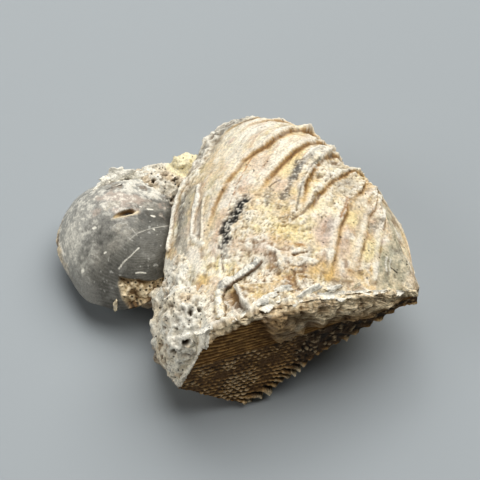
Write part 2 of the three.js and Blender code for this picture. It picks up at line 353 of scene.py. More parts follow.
def axesOf(shell):  # unit vectors: growth, front end, and up out of the upper valve
    yaw, slope, tilt = np.radians([shell["growthYaw"], shell["growthSlope"], shell["frontSlope"]])
    growth = np.array([math.cos(yaw) * math.cos(slope), math.sin(yaw) * math.cos(slope), math.sin(slope)])
    front = np.array([math.sin(yaw) * math.cos(tilt), -math.cos(yaw) * math.cos(tilt), math.sin(tilt)])
    front = unit(front - growth * front.dot(growth))
    return growth, front, np.cross(front, growth)


def keelOf(shell):  # outline place of the keel
    return len(shell["flank"]) - 1


def lastOf(shell):  # outline place where it comes back to the beak
    return keelOf(shell) + len(shell["rear"]) - 1


def outlineAt(shell, w):  # the flank's curve up to the keel and the rear face's after it, x and y in mm
    keel = keelOf(shell)
    flank = curveThrough(shell["flank"], w / keel)
    rear = curveThrough(shell["rear"], (w - keel) / (lastOf(shell) - keel))
    return np.where((w <= keel)[..., None], flank, rear)


def bareValve(valve, s, w):
    # beak + growth s x cos(swing) + front s y + up s depth sin(swing), with a small bulge at the beak
    shell, side = valve["shell"], valve["side"]
    growth, front, up = axesOf(shell)
    keel, last = keelOf(shell), lastOf(shell)
    x, y = np.moveaxis(outlineAt(shell, w), -1, 0)
    nearKeel = bell(w, keel, keelWidth)
    swing = np.radians(blend(*valve["opening"], nearKeel)) * (1 - s ** blend(*valve["closing"], nearKeel))
    depth = np.maximum(0.0, shell["depthShares"][0] * x + shell["depthShares"][1] * np.maximum(y, 0.0))
    ends = window(w, 0, 2, last - 2, last)
    beakBulge = shell["bluntness"] * ends * np.minimum(1, s / 0.04) * (1 - s) ** 2
    alongGrowth = s * x * np.cos(swing) - beakBulge / 2
    alongUp = side * (s * depth * np.sin(swing) + beakBulge)
    place = alongGrowth[..., None] * growth + (s * y)[..., None] * front + alongUp[..., None] * up
    return np.array(shell["beak"]) + place


def facingOf(valve, s, w):  # unit normals: the surface's two directions, crossed
    keel, last = keelOf(valve["shell"]), lastOf(valve["shell"])
    low, high = np.where(w <= keel, 0, keel), np.where(w <= keel, keel, last)
    step = 0.02
    later, earlier = np.minimum(s + step, 1), np.maximum(s - step, 0)
    further, nearer = np.minimum(w + step, high), np.maximum(w - step, low)
    alongGrowth = bareValve(valve, later, w) - bareValve(valve, earlier, w)
    alongOutline = bareValve(valve, s, further) - bareValve(valve, s, nearer)
    return unit(np.cross(alongGrowth, alongOutline) * valve["side"])


def outwardOf(valve, s, w):  # the same on a grid, rounded over the keel by averaging neighbours
    normal = facingOf(valve, s, w)
    for _ in range(keelRounding):
        normal[:, 1:-1] = (normal[:, :-2] + normal[:, 1:-1] * 2 + normal[:, 2:]) / 4
    return unit(normal)


def unevenSteps(stops, counts):  # values from stop to stop, with so many steps between each two
    parts = [np.linspace(a, b, n, endpoint=False) for a, b, n in zip(stops[:-1], stops[1:], counts)]
    return np.append(np.concatenate(parts), stops[-1])


def gridOf(look):  # growth and outline place of each vertex of a valve
    return np.meshgrid(unevenSteps(*look["rows"]), unevenSteps(*look["columns"]), indexing="ij")


def raised(valve, bare, outward, relief, t, w):
    # Relief in mm carried out along the normals, fading away at the beak, the edge and the outline's ends
    atBeak, atStart, atEnd = valve["shell"]["fades"]
    last = lastOf(valve["shell"])
    fade = np.minimum(1, t / atBeak) * np.minimum(1, (1 - t) / edgeFade)
    fade = fade * window(w, 0, atStart, last - atEnd, last)
    return bare + outward * (relief * fade)[..., None]


def closedValve(valve, t, points, tint, dull):
    # A valve as one closed surface: its grid, whose first row and outer columns are the beak, and a fan of
    # triangles in the valve plane from its edge to a hub; the grid stays above that plane
    shell, side = valve["shell"], valve["side"]
    growth, front, up = axesOf(shell)
    beak = np.array(shell["beak"])
    height = (points - beak) @ up * side
    wanted = np.where(t >= 1, 0.0, np.maximum(height, leastHeight))
    points = points + ((wanted - height) * side)[..., None] * up + up * side * parting
    rows, columns = t.shape
    index = np.arange(rows * columns).reshape(rows, columns)
    index[0, :] = index[:, 0] = index[:, -1] = 0
    faces = gridTriangles(index)
    hub = beak + growth * shell["middle"][0] + front * shell["middle"][1] + up * side * parting
    rim = index[-1]
    fan = np.stack([np.full(columns - 1, rows * columns), rim[1:], rim[:-1]], -1)
    faces = np.concatenate([faces, fan[rim[1:] != rim[:-1]]])
    if side < 0:
        faces = faces[:, ::-1]
    points = np.concatenate([points.reshape(-1, 3), hub[None]])
    points[0] = beak + up * side * parting
    tint = np.concatenate([tint.reshape(-1, 3), tint[-1, columns // 2][None]])
    dull = np.append(np.broadcast_to(dull, t.shape).ravel(), undersideDull)
    return points, faces, tint, dull


def cutFlat(points, plane):  # points outside a break move onto it, which leaves a rough flat face
    outwards = unit(np.array(plane["outwards"]))
    outside = (points - np.array(plane["point"])) @ outwards
    level = rough(points, 2.0, 3, seed=91) * plane["uneven"]
    moved = np.maximum(outside - level, 0.0)
    return points - moved[..., None] * outwards, outside > level


cornerBreak = {"point": (-7, 1.9, 22.7), "outwards": (-0.886, -0.18, 0.427), "uneven": 0.25}
keelBreak = {"point": (-3.3, 0.8, 4.1), "outwards": (-0.43, -0.64, -0.636), "uneven": 0.1}

# Ribs of the big shell: a rib rises slowly on its belly side and drops steeply on its beak side
rib = {
    "rise": 0.075,  # length of the slow side, in growth
    "drop": 0.016,  # and of the steep side
    "fadeOut": 1.2,  # from here on before its end, along the outline
    "frontBend": 0.8,  # how far the ribs swing towards the edge at both ends
    "rearBend": 0.5,
    "bendStart": 0.097,  # growth from which they bend fully
    "knob": 1.3,  # how much higher they are on the shoulder
    # From the beak on: height in mm, outline place where it ends, and its growth t at stops of w
    "crests": [
        (0.3, 12.0, [6], [0.11]),
        (0.55, 12.9, [6.7, 8.2, 9.5, 11, 12.5], [0.238, 0.208, 0.199, 0.183, 0.181]),
        (0.6, 12.8, [6.9, 8.2, 10, 12.6], [0.308, 0.279, 0.262, 0.268]),
        (0.6, 13.0, [6.2, 7.5, 8.8, 10.1, 11.3, 12.9], [0.389, 0.375, 0.367, 0.357, 0.347, 0.350]),
        (0.6, 10.6, [6.5, 7.5, 8.4, 9.1, 9.7, 10.8], [0.467, 0.452, 0.463, 0.477, 0.469, 0.497]),
        (0.9, 10.4, [6.3, 7.4, 8.1, 8.9, 9.8, 10.3], [0.565, 0.538, 0.53, 0.538, 0.509, 0.495]),
        (1.0, 10.5, [6.3, 7.0, 7.7, 8.15, 8.8, 9.5], [0.648, 0.628, 0.618, 0.622, 0.642, 0.652]),
        (1.0, 11.6, [6.5, 7.2, 7.7, 8.0, 8.4, 8.7, 9.0, 10.8],
         [0.734, 0.713, 0.709, 0.713, 0.722, 0.75, 0.769, 0.787]),
        (0.5, 8.5, [6, 9], [0.845, 0.86]),
        (0.4, 8.5, [6, 9], [0.915, 0.93]),
    ],
}


def growthAt(t, w):  # growth s at rib coordinate t, which is constant along a rib
    pastBeak = np.minimum(1, t / rib["bendStart"])
    bend = rib["frontBend"] * pastBeak * fall(w, 1, 7) + rib["rearBend"] * t * t * ease(w, 8.5, 12)
    return t + (1 - t) * bend


def ribShape(t, w):
    # For each rib a long ramp up to the crest and a short steep drop past it: height in mm, a painted
    # highlight along the crest, and a thin line of stain and painted shadow at the foot of the drop
    height, crestHighlight, footStainAndShadow = np.zeros_like(t), np.zeros_like(t), np.zeros_like(t)
    for size, end, stopsW, stopsT in rib["crests"]:
        crest = np.interp(w, stopsW, stopsT)
        reach = fall(w, end - rib["fadeOut"], end)
        ramp = np.clip(1 - (t - crest) / rib["rise"], 0, 1) * (t >= crest)
        drop = ease(t, crest - rib["drop"], crest) * (t < crest)
        height = np.maximum(height, size * reach * np.maximum(ramp, drop))
        crestHighlight = np.maximum(crestHighlight, reach * bell(t, crest + 0.008, 0.010))
        footStainAndShadow = np.maximum(footStainAndShadow, reach * bell(t, crest - rib["drop"] * 0.8, 0.0075))
    return height, crestHighlight, footStainAndShadow


def patches(places, t, w, ragged):
    # Ragged ovals of colour as layers: each has a colour, a middle (t, w), half sizes and a strength
    layers = []
    for colour, (tMiddle, wMiddle), (tHalf, wHalf), strength in places:
        away = np.hypot((t - tMiddle) / tHalf, (w - wMiddle) / wHalf)
        layers.append((colour, strength * fall(away + 0.5 * ragged, 0.3, 1.4)))
    return layers


def routeOn(valve, places):  # points in mm at places (t, w) of a bare valve
    t, w = np.array(places).T
    return bareValve(valve, growthAt(t, w), w)


# Upper valve: the ribbed, weathered flank and the upper half of the rear face

upperLook = {
    "noise": [(6.0, 4, 1), (2.2, 4, 11), (0.8, 3, 21)],  # size in mm, octaves and seed
    "ribHeight": 0.72,  # share of the ribs' heights that is left
    "layerHeight": 0.4,  # of flat layers on the crusted places, mm
    "crackDepth": 0.25,
    "frontEnd": 1.5,  # how far the front end stands out beyond the plain spiral near the beak, mm
    "rows": ([0, 0.05, 1], [6, 246]),  # stops of the grid and steps between them
    "columns": ([0, 2, 6, 13, 15.5, 19], [14, 60, 174, 84, 48]),
    "ledge": 0.5,  # how far the crust on the keel stands out, mm
    "crustThickness": 0.9,  # of the crust that covers part of the rear face, mm
    "crustEdge": (  # growth that the crust reaches, at stops of w
        [14, 14.7, 14.82, 14.95, 15.3, 15.7, 16.3, 16.7, 16.85, 17.05, 17.4, 17.7, 18.2, 18.5, 19],
        [0.9, 0.84, 0.71, 0.61, 0.65, 0.71, 0.86, 0.95, 0.87, 0.83, 0.84, 0.88, 0.93, 0.97, 1],
    ),
    "stripe": 0.034,  # from one fine line of the rear face to the next, in growth
    "grain": 0.62,  # of the granular strips, mm
    "lines": [  # colour, half width and height in mm, strength, and the places (t, w) it runs through
        ("ash", 1.6, 0.0, 0.7, [(0.925, 9.9), (0.92, 10.3), (0.915, 10.8), (0.90, 11.3), (0.86, 11.7)]),
        ("slate", 0.9, 0.0, 0.5, [(0.935, 9.9), (0.94, 10.3), (0.935, 10.8), (0.92, 11.2)]),
        ("ash", 0.6, -0.2, 0.6, [(0.835, 10.4), (0.83, 10.9), (0.815, 11.3)]),
        ("white", 0.45, 0.9, 0.95,
         [(0.885, 9.8), (0.862, 10.2), (0.860, 10.6), (0.856, 10.9), (0.844, 11.2)]),
        ("white", 0.6, 0.4, 0.7, [(0.844, 11.25), (0.82, 11.45), (0.78, 11.6)]),
        ("cream", 0.35, 0.5, 0.9, [(0.825, 10.3), (0.815, 10.8), (0.80, 11.2), (0.79, 11.5)]),
        ("white", 0.5, 1.2, 0.95, [(0.96, 9.5), (0.974, 9.9), (0.978, 10.3), (0.978, 10.8), (0.97, 11.3)]),
        # orange along the foot of a rib: stain with painted shadow
        ("orange", 0.14, -0.1, 0.8,
         [(0.742, 8.9), (0.735, 9.5), (0.728, 9.92), (0.72, 10.27), (0.722, 10.6)]),
        ("umber", 0.15, 0.15, 0.7,
         [(0.742, 9.88), (0.735, 9.75), (0.72, 9.73), (0.705, 9.86), (0.713, 10.02), (0.73, 9.98)]),
        ("soot", 0.15, -0.2, 0.8, [(0.600, 9.32), (0.606, 9.4), (0.614, 9.54), (0.62, 9.75)]),
        ("umber", 0.15, -0.25, 0.8,
         [(0.718, 11.2), (0.705, 11.67), (0.703, 11.9), (0.695, 12.2), (0.689, 12.4)]),
        ("umber", 0.16, -0.3, 0.9, [(0.552, 12.68), (0.548, 13.0)]),
        ("umber", 0.16, -0.3, 0.9, [(0.588, 12.8), (0.567, 12.91), (0.575, 13.02)]),
        ("soot", 0.16, -0.2, 0.8, [(0.138, 10.3), (0.128, 10.36), (0.108, 10.42)]),
        ("white", 0.2, 0.1, 0.6, [(0.16, 9.3), (0.158, 10.2), (0.15, 11.2)]),
        ("white", 0.15, 0.1, 0.5, [(0.145, 9.0), (0.143, 10.0), (0.137, 10.9)]),
        ("ash", 0.7, 0.1, 0.7, [(0.600, 6.2), (0.575, 7.3), (0.562, 8.1), (0.568, 8.6), (0.571, 9.05)]),
        ("white", 0.3, 0.3, 0.8, [(0.608, 6.4), (0.585, 7.3), (0.572, 8.0)]),
        # slate along the step of a rib: painted shadow
        ("slate", 0.25, 0.0, 0.8,
         [(0.545, 7.2), (0.532, 8.1), (0.538, 8.6), (0.528, 9.3), (0.512, 9.8), (0.50, 10.3)]),
        ("umber", 0.3, -0.1, 0.7,
         [(0.477, 9.1), (0.469, 9.68), (0.479, 10.45), (0.497, 10.76), (0.52, 11.0)]),
        ("rust", 0.5, -0.1, 0.7, [(0.372, 8.1), (0.366, 8.8), (0.363, 9.4)]),
        ("umber", 0.5, -0.5, 0.8, [(0.467, 12.12), (0.45, 12.05), (0.43, 11.97)]),
        ("white", 0.8, 0.7, 0.8, [(0.475, 12.32), (0.455, 12.3), (0.43, 12.24), (0.405, 12.3)]),
        ("white", 0.6, 0.4, 0.7, [(0.55, 11.95), (0.52, 12.1), (0.50, 12.35), (0.505, 12.6)]),
        ("soot", 0.25, -0.2, 0.6, [(0.90, 6.3), (0.87, 6.5), (0.84, 6.3)]),
        ("umber", 0.25, -0.2, 0.7, [(0.46, 12.7), (0.44, 12.9), (0.42, 12.95)]),
        ("white", 0.5, 0.5, 0.8, [(0.85, 13.0), (0.80, 12.9), (0.77, 13.1), (0.76, 13.5)]),
        ("white", 0.4, 0.5, 0.9, [(0.628, 13.05), (0.612, 13.3), (0.594, 13.6), (0.568, 13.95)]),
    ],
    "lineRelief": 0.6,  # share of a line's height that stands out
    "flankLength": 50,  # from the beak to the edge, mm
    "folds": [  # height and length in mm of raised plates, and growth t of the steep side at stops of w
        (1.9, 4.5, [13.0, 13.1, 13.6, 13.95], [0.634, 0.627, 0.598, 0.571]),
        (0.8, 2.5, [12.7, 12.9, 13.3, 13.8], [0.45, 0.455, 0.44, 0.40]),
        (0.6, 2.0, [12.0, 12.1, 12.6, 12.7], [0.525, 0.52, 0.505, 0.50]),
    ],
    "granular": [  # strength, half width in mm and route of strips of dark and white grains
        (1.0, 1.5, [(0.68, 10.5), (0.685, 10.8), (0.692, 11.0), (0.70, 11.2), (0.70, 11.4), (0.693, 11.7)]),
        (0.5, 0.9, [(0.693, 11.64), (0.688, 12.1)]),
        (0.7, 1.1, [(0.57, 8.3), (0.572, 8.75), (0.571, 9.1)]),
        (0.6, 0.7, [(0.571, 9.05), (0.562, 9.5), (0.556, 10.0)]),
        (0.35, 0.9, [(0.615, 9.9), (0.60, 10.4)]),
        (0.35, 0.7, [(0.50, 10.6), (0.53, 10.9)]),
        (0.4, 2.4, [(0.945, 6.8), (0.955, 7.8), (0.96, 8.8)]),
        (0.3, 0.9, [(0.935, 10.0), (0.93, 10.8)]),
        (0.25, 1.0, [(0.255, 7.2), (0.25, 8.4)]),
    ],
    "places": [  # colour, middle (t, w), half sizes and strength
        ("ochre", (0.355, 12.6), (0.02, 0.5), 0.8),
        ("ochre", (0.208, 11.9), (0.012, 0.8), 0.8),
        ("lemon", (0.215, 8.5), (0.014, 2.2), 0.6),
        ("white", (0.82, 7.5), (0.07, 1.8), 0.75),
        ("ash", (0.955, 7.9), (0.06, 1.4), 0.75),  # layered edge of the belly
        ("rose", (0.858, 8.4), (0.010, 0.15), 0.8),
        # painted shade: the sand tint under the overhang of a rib
        ("sand", (0.692, 7.2), (0.018, 1.2), 0.5),  # under the overhang of a rib
        ("lemon", (0.60, 8.4), (0.025, 1.2), 0.45),
        ("white", (0.665, 8.0), (0.02, 1.0), 0.5),
        ("rose", (0.585, 9.5), (0.03, 0.35), 0.7),
        ("ash", (0.51, 7.0), (0.03, 0.8), 0.5),
        ("ash", (0.42, 7.4), (0.035, 0.9), 0.5),
        ("lemon", (0.58, 11.2), (0.06, 0.35), 0.5),
        ("lemon", (0.49, 11.3), (0.07, 0.3), 0.55),
        ("ochre", (0.54, 11.75), (0.03, 0.2), 0.4),
        ("lemon", (0.45, 9.6), (0.025, 0.5), 0.5),
        ("rose", (0.56, 11.9), (0.03, 0.3), 0.6),
        ("rose", (0.39, 10.6), (0.032, 0.9), 0.85),  # smooth bands
        ("ash", (0.378, 10.2), (0.018, 0.7), 0.4),
        ("rose", (0.318, 10.9), (0.022, 1.3), 0.6),
        ("lemon", (0.325, 9.0), (0.022, 0.6), 0.6),
        ("cream", (0.28, 10.4), (0.010, 2.2), 0.8),
        ("lemon", (0.232, 10.6), (0.022, 2.0), 0.6),
        ("ash", (0.25, 8.2), (0.02, 0.6), 0.5),
        ("ochre", (0.385, 12.6), (0.03, 0.35), 0.55),  # stains at the lower ends of the bands
        ("umber", (0.37, 12.7), (0.014, 0.2), 0.6),
        ("rust", (0.281, 12.4), (0.014, 0.16), 0.7),
        ("ochre", (0.235, 12.4), (0.025, 0.5), 0.45),
        ("umber", (0.30, 13.0), (0.05, 0.14), 0.65),
        ("umber", (0.195, 12.9), (0.012, 0.3), 0.5),
        ("rust", (0.452, 11.72), (0.016, 0.08), 0.85),
        ("umber", (0.444, 12.92), (0.02, 0.12), 0.5),
        ("ochre", (0.76, 12.55), (0.035, 0.3), 0.65),
        ("orange", (0.77, 12.7), (0.015, 0.15), 0.5),
        ("lemon", (0.72, 12.3), (0.05, 0.25), 0.6),
        ("ochre", (0.62, 12.55), (0.03, 0.2), 0.35),
        ("rose", (0.735, 11.5), (0.02, 0.9), 0.6),
        ("sand", (0.545, 12.75), (0.035, 0.3), 0.7),
        ("sand", (0.48, 13.0), (0.04, 0.3), 0.6),
        ("white", (0.42, 13.3), (0.08, 0.2), 0.8),
        ("white", (0.55, 12.3), (0.05, 0.15), 0.6),
        ("slate", (0.333, 13.55), (0.026, 0.16), 0.75),
        ("ash", (0.80, 12.6), (0.03, 0.6), 0.5),
        ("white", (0.74, 13.4), (0.06, 0.4), 0.7),
        ("cream", (0.05, 12.0), (0.045, 4.0), 0.7),
    ],
}


def makeUpperValve(look):
    # The bare valve moved along its normals by ribs, plates, cracks, lines and crust, and painted by
    # the same masks
    t, w = gridOf(look)
    s = growthAt(t, w)
    bare, outward = bareValve(bigUpper, s, w), outwardOf(bigUpper, s, w)
    slow, lumps, grit = noises(bare, look)
    streaks = rough(stretched(t, w, 60, 1.3), 1.0, 4, seed=25)
    breaks = rough(stretched(t, w, 16, 0.9), 1.0, 2, seed=29)
    bands = rough(stretched(t, w, 45, 2.2), 1.0, 4, seed=33)
    grains, grainOwn = cells(bare, look["grain"], seed=27)
    ribHeight, crestHighlight, footStainAndShadow = ribShape(t + 0.004 * slow + 0.002 * lumps, w)

    # How worn and how crusted each place is
    onFlank = fall(w, 13.9, 14.1)
    worn = ease(w + 0.6 * slow, 9.8, 11.0) * window(t, 0.38, 0.46, 0.68, 0.76)
    crusted = np.maximum(0.8 * worn, ease(w + 0.4 * lumps, 12.6, 13.3) * ease(t, 0.25, 0.45))
    crusted = np.maximum(crusted, 0.8 * window(t, 0.3, 0.42, 0.5, 0.6) * fall(w, 8.6, 10.2))
    young = ease(t, 0.05, 0.085) * fall(t + 0.004 * slow, 0.175, 0.188)  # the smooth, greenish first shell
    young = young * ease(w + 0.5 * lumps, 2.5, 4.5)
    shoulder = bell(w, 5.0, 1.8)
    ribReach = ease(w, 0.6, 2.5) * (1 - 0.7 * worn) * (1 - young) * np.clip(0.9 + 0.5 * breaks, 0.2, 1.3)

    # Relief of the flank, mm
    size = np.minimum(1, t / 0.4) ** 0.6
    relief = look["ribHeight"] * ribHeight * ribReach * size * (1 + rib["knob"] * shoulder * (0.6 + lumps))
    coarse = (0.2 + 0.8 * crusted) * (1 - 0.9 * young)
    layers = terraces(0.5 + 0.5 * lumps + 0.25 * streaks, 4)
    crack = fall(np.abs(rough(bare, 2.6, 3, seed=35)), 0.0, 0.08)
    relief += onFlank * (0.1 * streaks * (1 - 0.5 * crusted) + 0.15 * slow)
    chips = look["layerHeight"] * layers + 0.12 * grit + 0.25 * lumps - look["crackDepth"] * crack
    relief += onFlank * coarse * chips + 0.5 * shoulder * lumps
    relief += look["frontEnd"] * window(w, 0.3, 2.6, 4.5, 8.5) * window(t, 0.03, 0.12, 0.38, 0.55)
    belly = onFlank * ease(t + 0.012 * lumps, 0.915, 0.945) * bell(w, 8.2, 1.7)  # its layered edge
    relief += belly * (0.3 + 0.9 * layers + 0.4 * grit)
    granular = np.zeros_like(t)
    for strength, half, places in look["granular"]:
        away = farFrom(bare, routeOn(bigUpper, places)) / half + 0.6 * lumps + 0.4 * grit
        granular = np.maximum(granular, strength * fall(away, 0.5, 1.2))
    relief += granular * (0.45 * fall(grains, 0.15, 0.55) - 0.3)
    wall = np.zeros_like(t)
    for height, length, stopsW, stopsT in look["folds"]:
        foot = np.interp(w, stopsW, stopsT) + 0.004 * lumps
        past = (foot - t) * look["flankLength"]  # mm past the steep side, towards the beak
        reach = window(w, stopsW[0], stopsW[1], stopsW[-2], stopsW[-1] + 0.1)
        relief += height * reach * ease(past, -0.25, 0.0) * np.exp(-np.maximum(past, 0) / length)
        wall = np.maximum(wall, reach * bell(past, -1.0, 0.8))
    drawn = []
    for colour, half, height, strength, places in look["lines"]:
        away = farFrom(bare, routeOn(bigUpper, places)) / half + 0.7 * lumps + 0.3 * grit
        line = fall(away, 0.6, 1.4)
        relief += look["lineRelief"] * height * line
        drawn.append((colour, strength * line))

    # The crust on the keel and over part of the rear face
    onRear = 1 - onFlank
    ledge = bell(w + 0.12 * lumps, 13.95, 0.3) * ease(t, 0.05, 0.2)
    relief += look["ledge"] * ledge * (0.8 + 1.1 * lumps + 0.5 * grit)
    edge = np.interp(w, *look["crustEdge"]) + 0.03 * lumps + 0.012 * grit
    crust = onRear * fall(t, edge - 0.012, edge + 0.012) * fall(w, 18.0, 18.8)
    leaning = 0.8 * ease(w, 14.0, 15.3) * ease(t, 0.4, 0.6)  # thicker away from the keel, so it leans back
    coarseness = 0.35 * bands + blend(0.5, 0.9, ease(t, 0.3, 0.5)) * lumps + 0.5 * slow + 0.3 * grit
    relief += crust * look["crustThickness"] * (0.45 + leaning + coarseness)
    lines = np.sin(2 * np.pi * (t / look["stripe"] + 0.25 * slow))
    bareRear = onRear * (1 - crust)
    relief += bareRear * (0.15 * lines + 0.14 * grit)
    points = raised(bigUpper, bare, outward, relief, t, w)

    # Colours, from the ground up
    hollow, fineHollow = hollows(relief, 5), hollows(relief, 2)
    shade = np.maximum(ease(hollow, 0.08, 0.45), ease(fineHollow, 0.03, 0.14))
    crustShade = np.maximum(ease(hollow, 0.1, 0.45), ease(fineHollow, 0.05, 0.15))
    atFoot = ribReach * ease(t, 0.2, 0.45)
    dirt = rough(bare, 1.6, 4, seed=39)
    dirty = blend(0.4, 1.0, np.maximum(crusted, ease(w, 11.0, 12.5)))
    dirty = dirty * onFlank * (1 - granular) * (1 - 0.6 * young)
    low = ease(t - edge + 0.05 * lumps + 0.02 * slow, -0.24, -0.02) * ease(w, 14.1, 14.6)
    tint = layered(
        "cream",
        ("sand", 0.6 * ease(slow + 0.4 * streaks, -0.1, 0.8)),
        ("beige", 0.35 * clouds(bare, 3.2, 37, 0.0, 0.5)),
        ("lemon", 0.4 * clouds(bare, 3.5, 31, 0.1, 0.6)),
        ("ash", 0.25 * onFlank * clouds(bare, 4.0, 36, 0.0, 0.5)),
        ("rose", 0.5 * clouds(bare, 4.5, 38, 0.1, 0.6)),
        ("white", 0.6 * ease(lumps + 0.3 * streaks, 0.1, 0.6)),
        *patches(look["places"], t, w, lumps),
        ("moss", 0.75 * young),
        ("slate", 0.15 * young * ease(-streaks + slow, 0.0, 0.5)),
        ("cream", 0.6 * young * ease(streaks + 0.5 * lumps, -0.3, 0.7)),
        ("orange", 0.3 * onFlank * ease(streaks, 0.3, 0.7) * (1 - crusted) * (1 - young)),
        # white along each rib's crest is a painted highlight; ochre, bronze, rust and umber at its foot are
        # stain with painted shadow
        ("white", 0.6 * crestHighlight * ribReach),
        ("ochre", 0.6 * np.sqrt(footStainAndShadow) * atFoot),
        ("bronze", 0.8 * footStainAndShadow * atFoot),
        ("rust", 0.35 * footStainAndShadow**2 * ribReach),
        ("umber", 0.4 * footStainAndShadow**4 * ribReach),
        ("umber", 0.4 * onFlank * ease(-streaks, 0.4, 0.8) * (1 - crusted)),
        *drawn,
        # rust and umber at the foot of each plate's steep side: painted shade
        ("rust", 0.5 * wall),
        ("umber", 0.3 * wall),
        ("ash", 0.7 * granular),
        ("soot", granular * ease(grains + 0.3 * grainOwn, 0.47, 0.62)),
        ("white", 0.9 * granular * fall(grains, 0.2, 0.4) * (grainOwn > 0.5)),
        ("white", 0.85 * belly * ease(layers + 0.5 * grit, 0.3, 0.75)),
        ("ochre", 0.3 * dirty * ease(dirt + slow, 0.2, 0.7)),
        ("umber", 0.6 * dirty * ease(-dirt + 0.5 * streaks, 0.35, 0.8)),
        ("white", 0.6 * dirty * ease(dirt - slow, 0.4, 0.8)),
        ("umber", onFlank * shade * (1 - granular) * blend(0.55, 0.8, crusted)),
        # white on the raised points of the flank: a painted highlight
        ("white", 0.5 * ease(-fineHollow, 0.03, 0.12) * onFlank * (1 - granular)),
        ("white", 0.5 * ledge),
        ("cream", crust),
        ("beige", 0.5 * crust * clouds(bare, 3.0, 34, -0.2, 0.5)),
        ("sand", 0.5 * crust * ease(slow + 0.5 * lumps, -0.3, 0.4)),
        ("ash", 0.35 * crust * ease(bands, 0.15, 0.5)),
        ("darkUmber", 0.55 * crust * ease(-lumps + 0.5 * grit - 0.4 * bands, 0.2, 0.6)),
        ("cream", 0.9 * crust * ease(lumps + 0.5 * grit, 0.0, 0.6)),
        ("umber", 0.65 * crust * low),
        ("bronze", 0.4 * crust * low * ease(grit + lumps, -0.1, 0.5)),
        ("white", 0.8 * crust * fall(w + 0.5 * lumps, 14.3, 14.9) * fall(t, 0.3, 0.5)),
        ("umber", 0.6 * crust * crustShade),
        ("darkUmber", bareRear),
        # bronze on the ridges of the rear face's fine lines: a painted highlight
        ("bronze", 0.9 * bareRear * ease(lines + 0.9 * grit, 0.0, 1.1)),
        # umber in the fine hollows of the rear face: painted shade
        ("umber", 0.8 * bareRear * ease(fineHollow, 0.03, 0.1)),
    )
    dull = 0.6 + 0.25 * np.clip(crusted + crust, 0, 1) - 0.15 * young

    points, faces, tint, dull = closedValve(bigUpper, t, points, tint, dull)
    points, cut = cutFlat(points, cornerBreak)
    return addMesh("ribbed_upper_valve", points, faces, over(tint, "white", 0.9 * cut), dull)


# Lower valve: the beaded half of the rear face, whose rows of beads end in a row of blunt teeth

lowerLook = {
    "noise": [(6.0, 4, 41), (2.4, 4, 51), (0.8, 3, 61)],
    "rows": ([0, 0.05, 0.3, 1], [6, 40, 210]),
    "columns": ([0, 2, 6, 13, 14, 17, 19], [12, 40, 60, 40, 180, 42]),
    "rowSpacing": 1.0,  # between rows of beads, mm
    "rowTilt": -0.07,  # rise of a row per mm towards the beak
    "beadLength": 1.3,  # mm
    "beadHeight": 0.38,
    # Line that the rows end at as teeth: x, y and z in mm
    "toothLine": (
        [-2, 0.5, 1.4, 3.4, 6, 8.5, 10.2, 12.4, 15.9, 21.7, 26.6, 33],
        [1, 2, 2.2, 2.6, 3.4, 4.5, 5.3, 6.4, 7.8, 10.2, 12.4, 15.1],
        [-3, 0.2, 0.9, 1.9, 3.3, 5.1, 6.3, 8.5, 10.6, 13.1, 15.2, 17.2],
    ),
    "toothReach": 4.5,  # how far above the line the rows bend down to it and grow into teeth, mm
    "toothBend": 0.6,  # share of the line's course that the rows take up
    "toothHeight": 1.0,  # mm
    "toothStep": 1.3,  # how far the teeth reach below the line, mm
    "undercut": 0.9,  # slope at which the valve stands back below the teeth
}


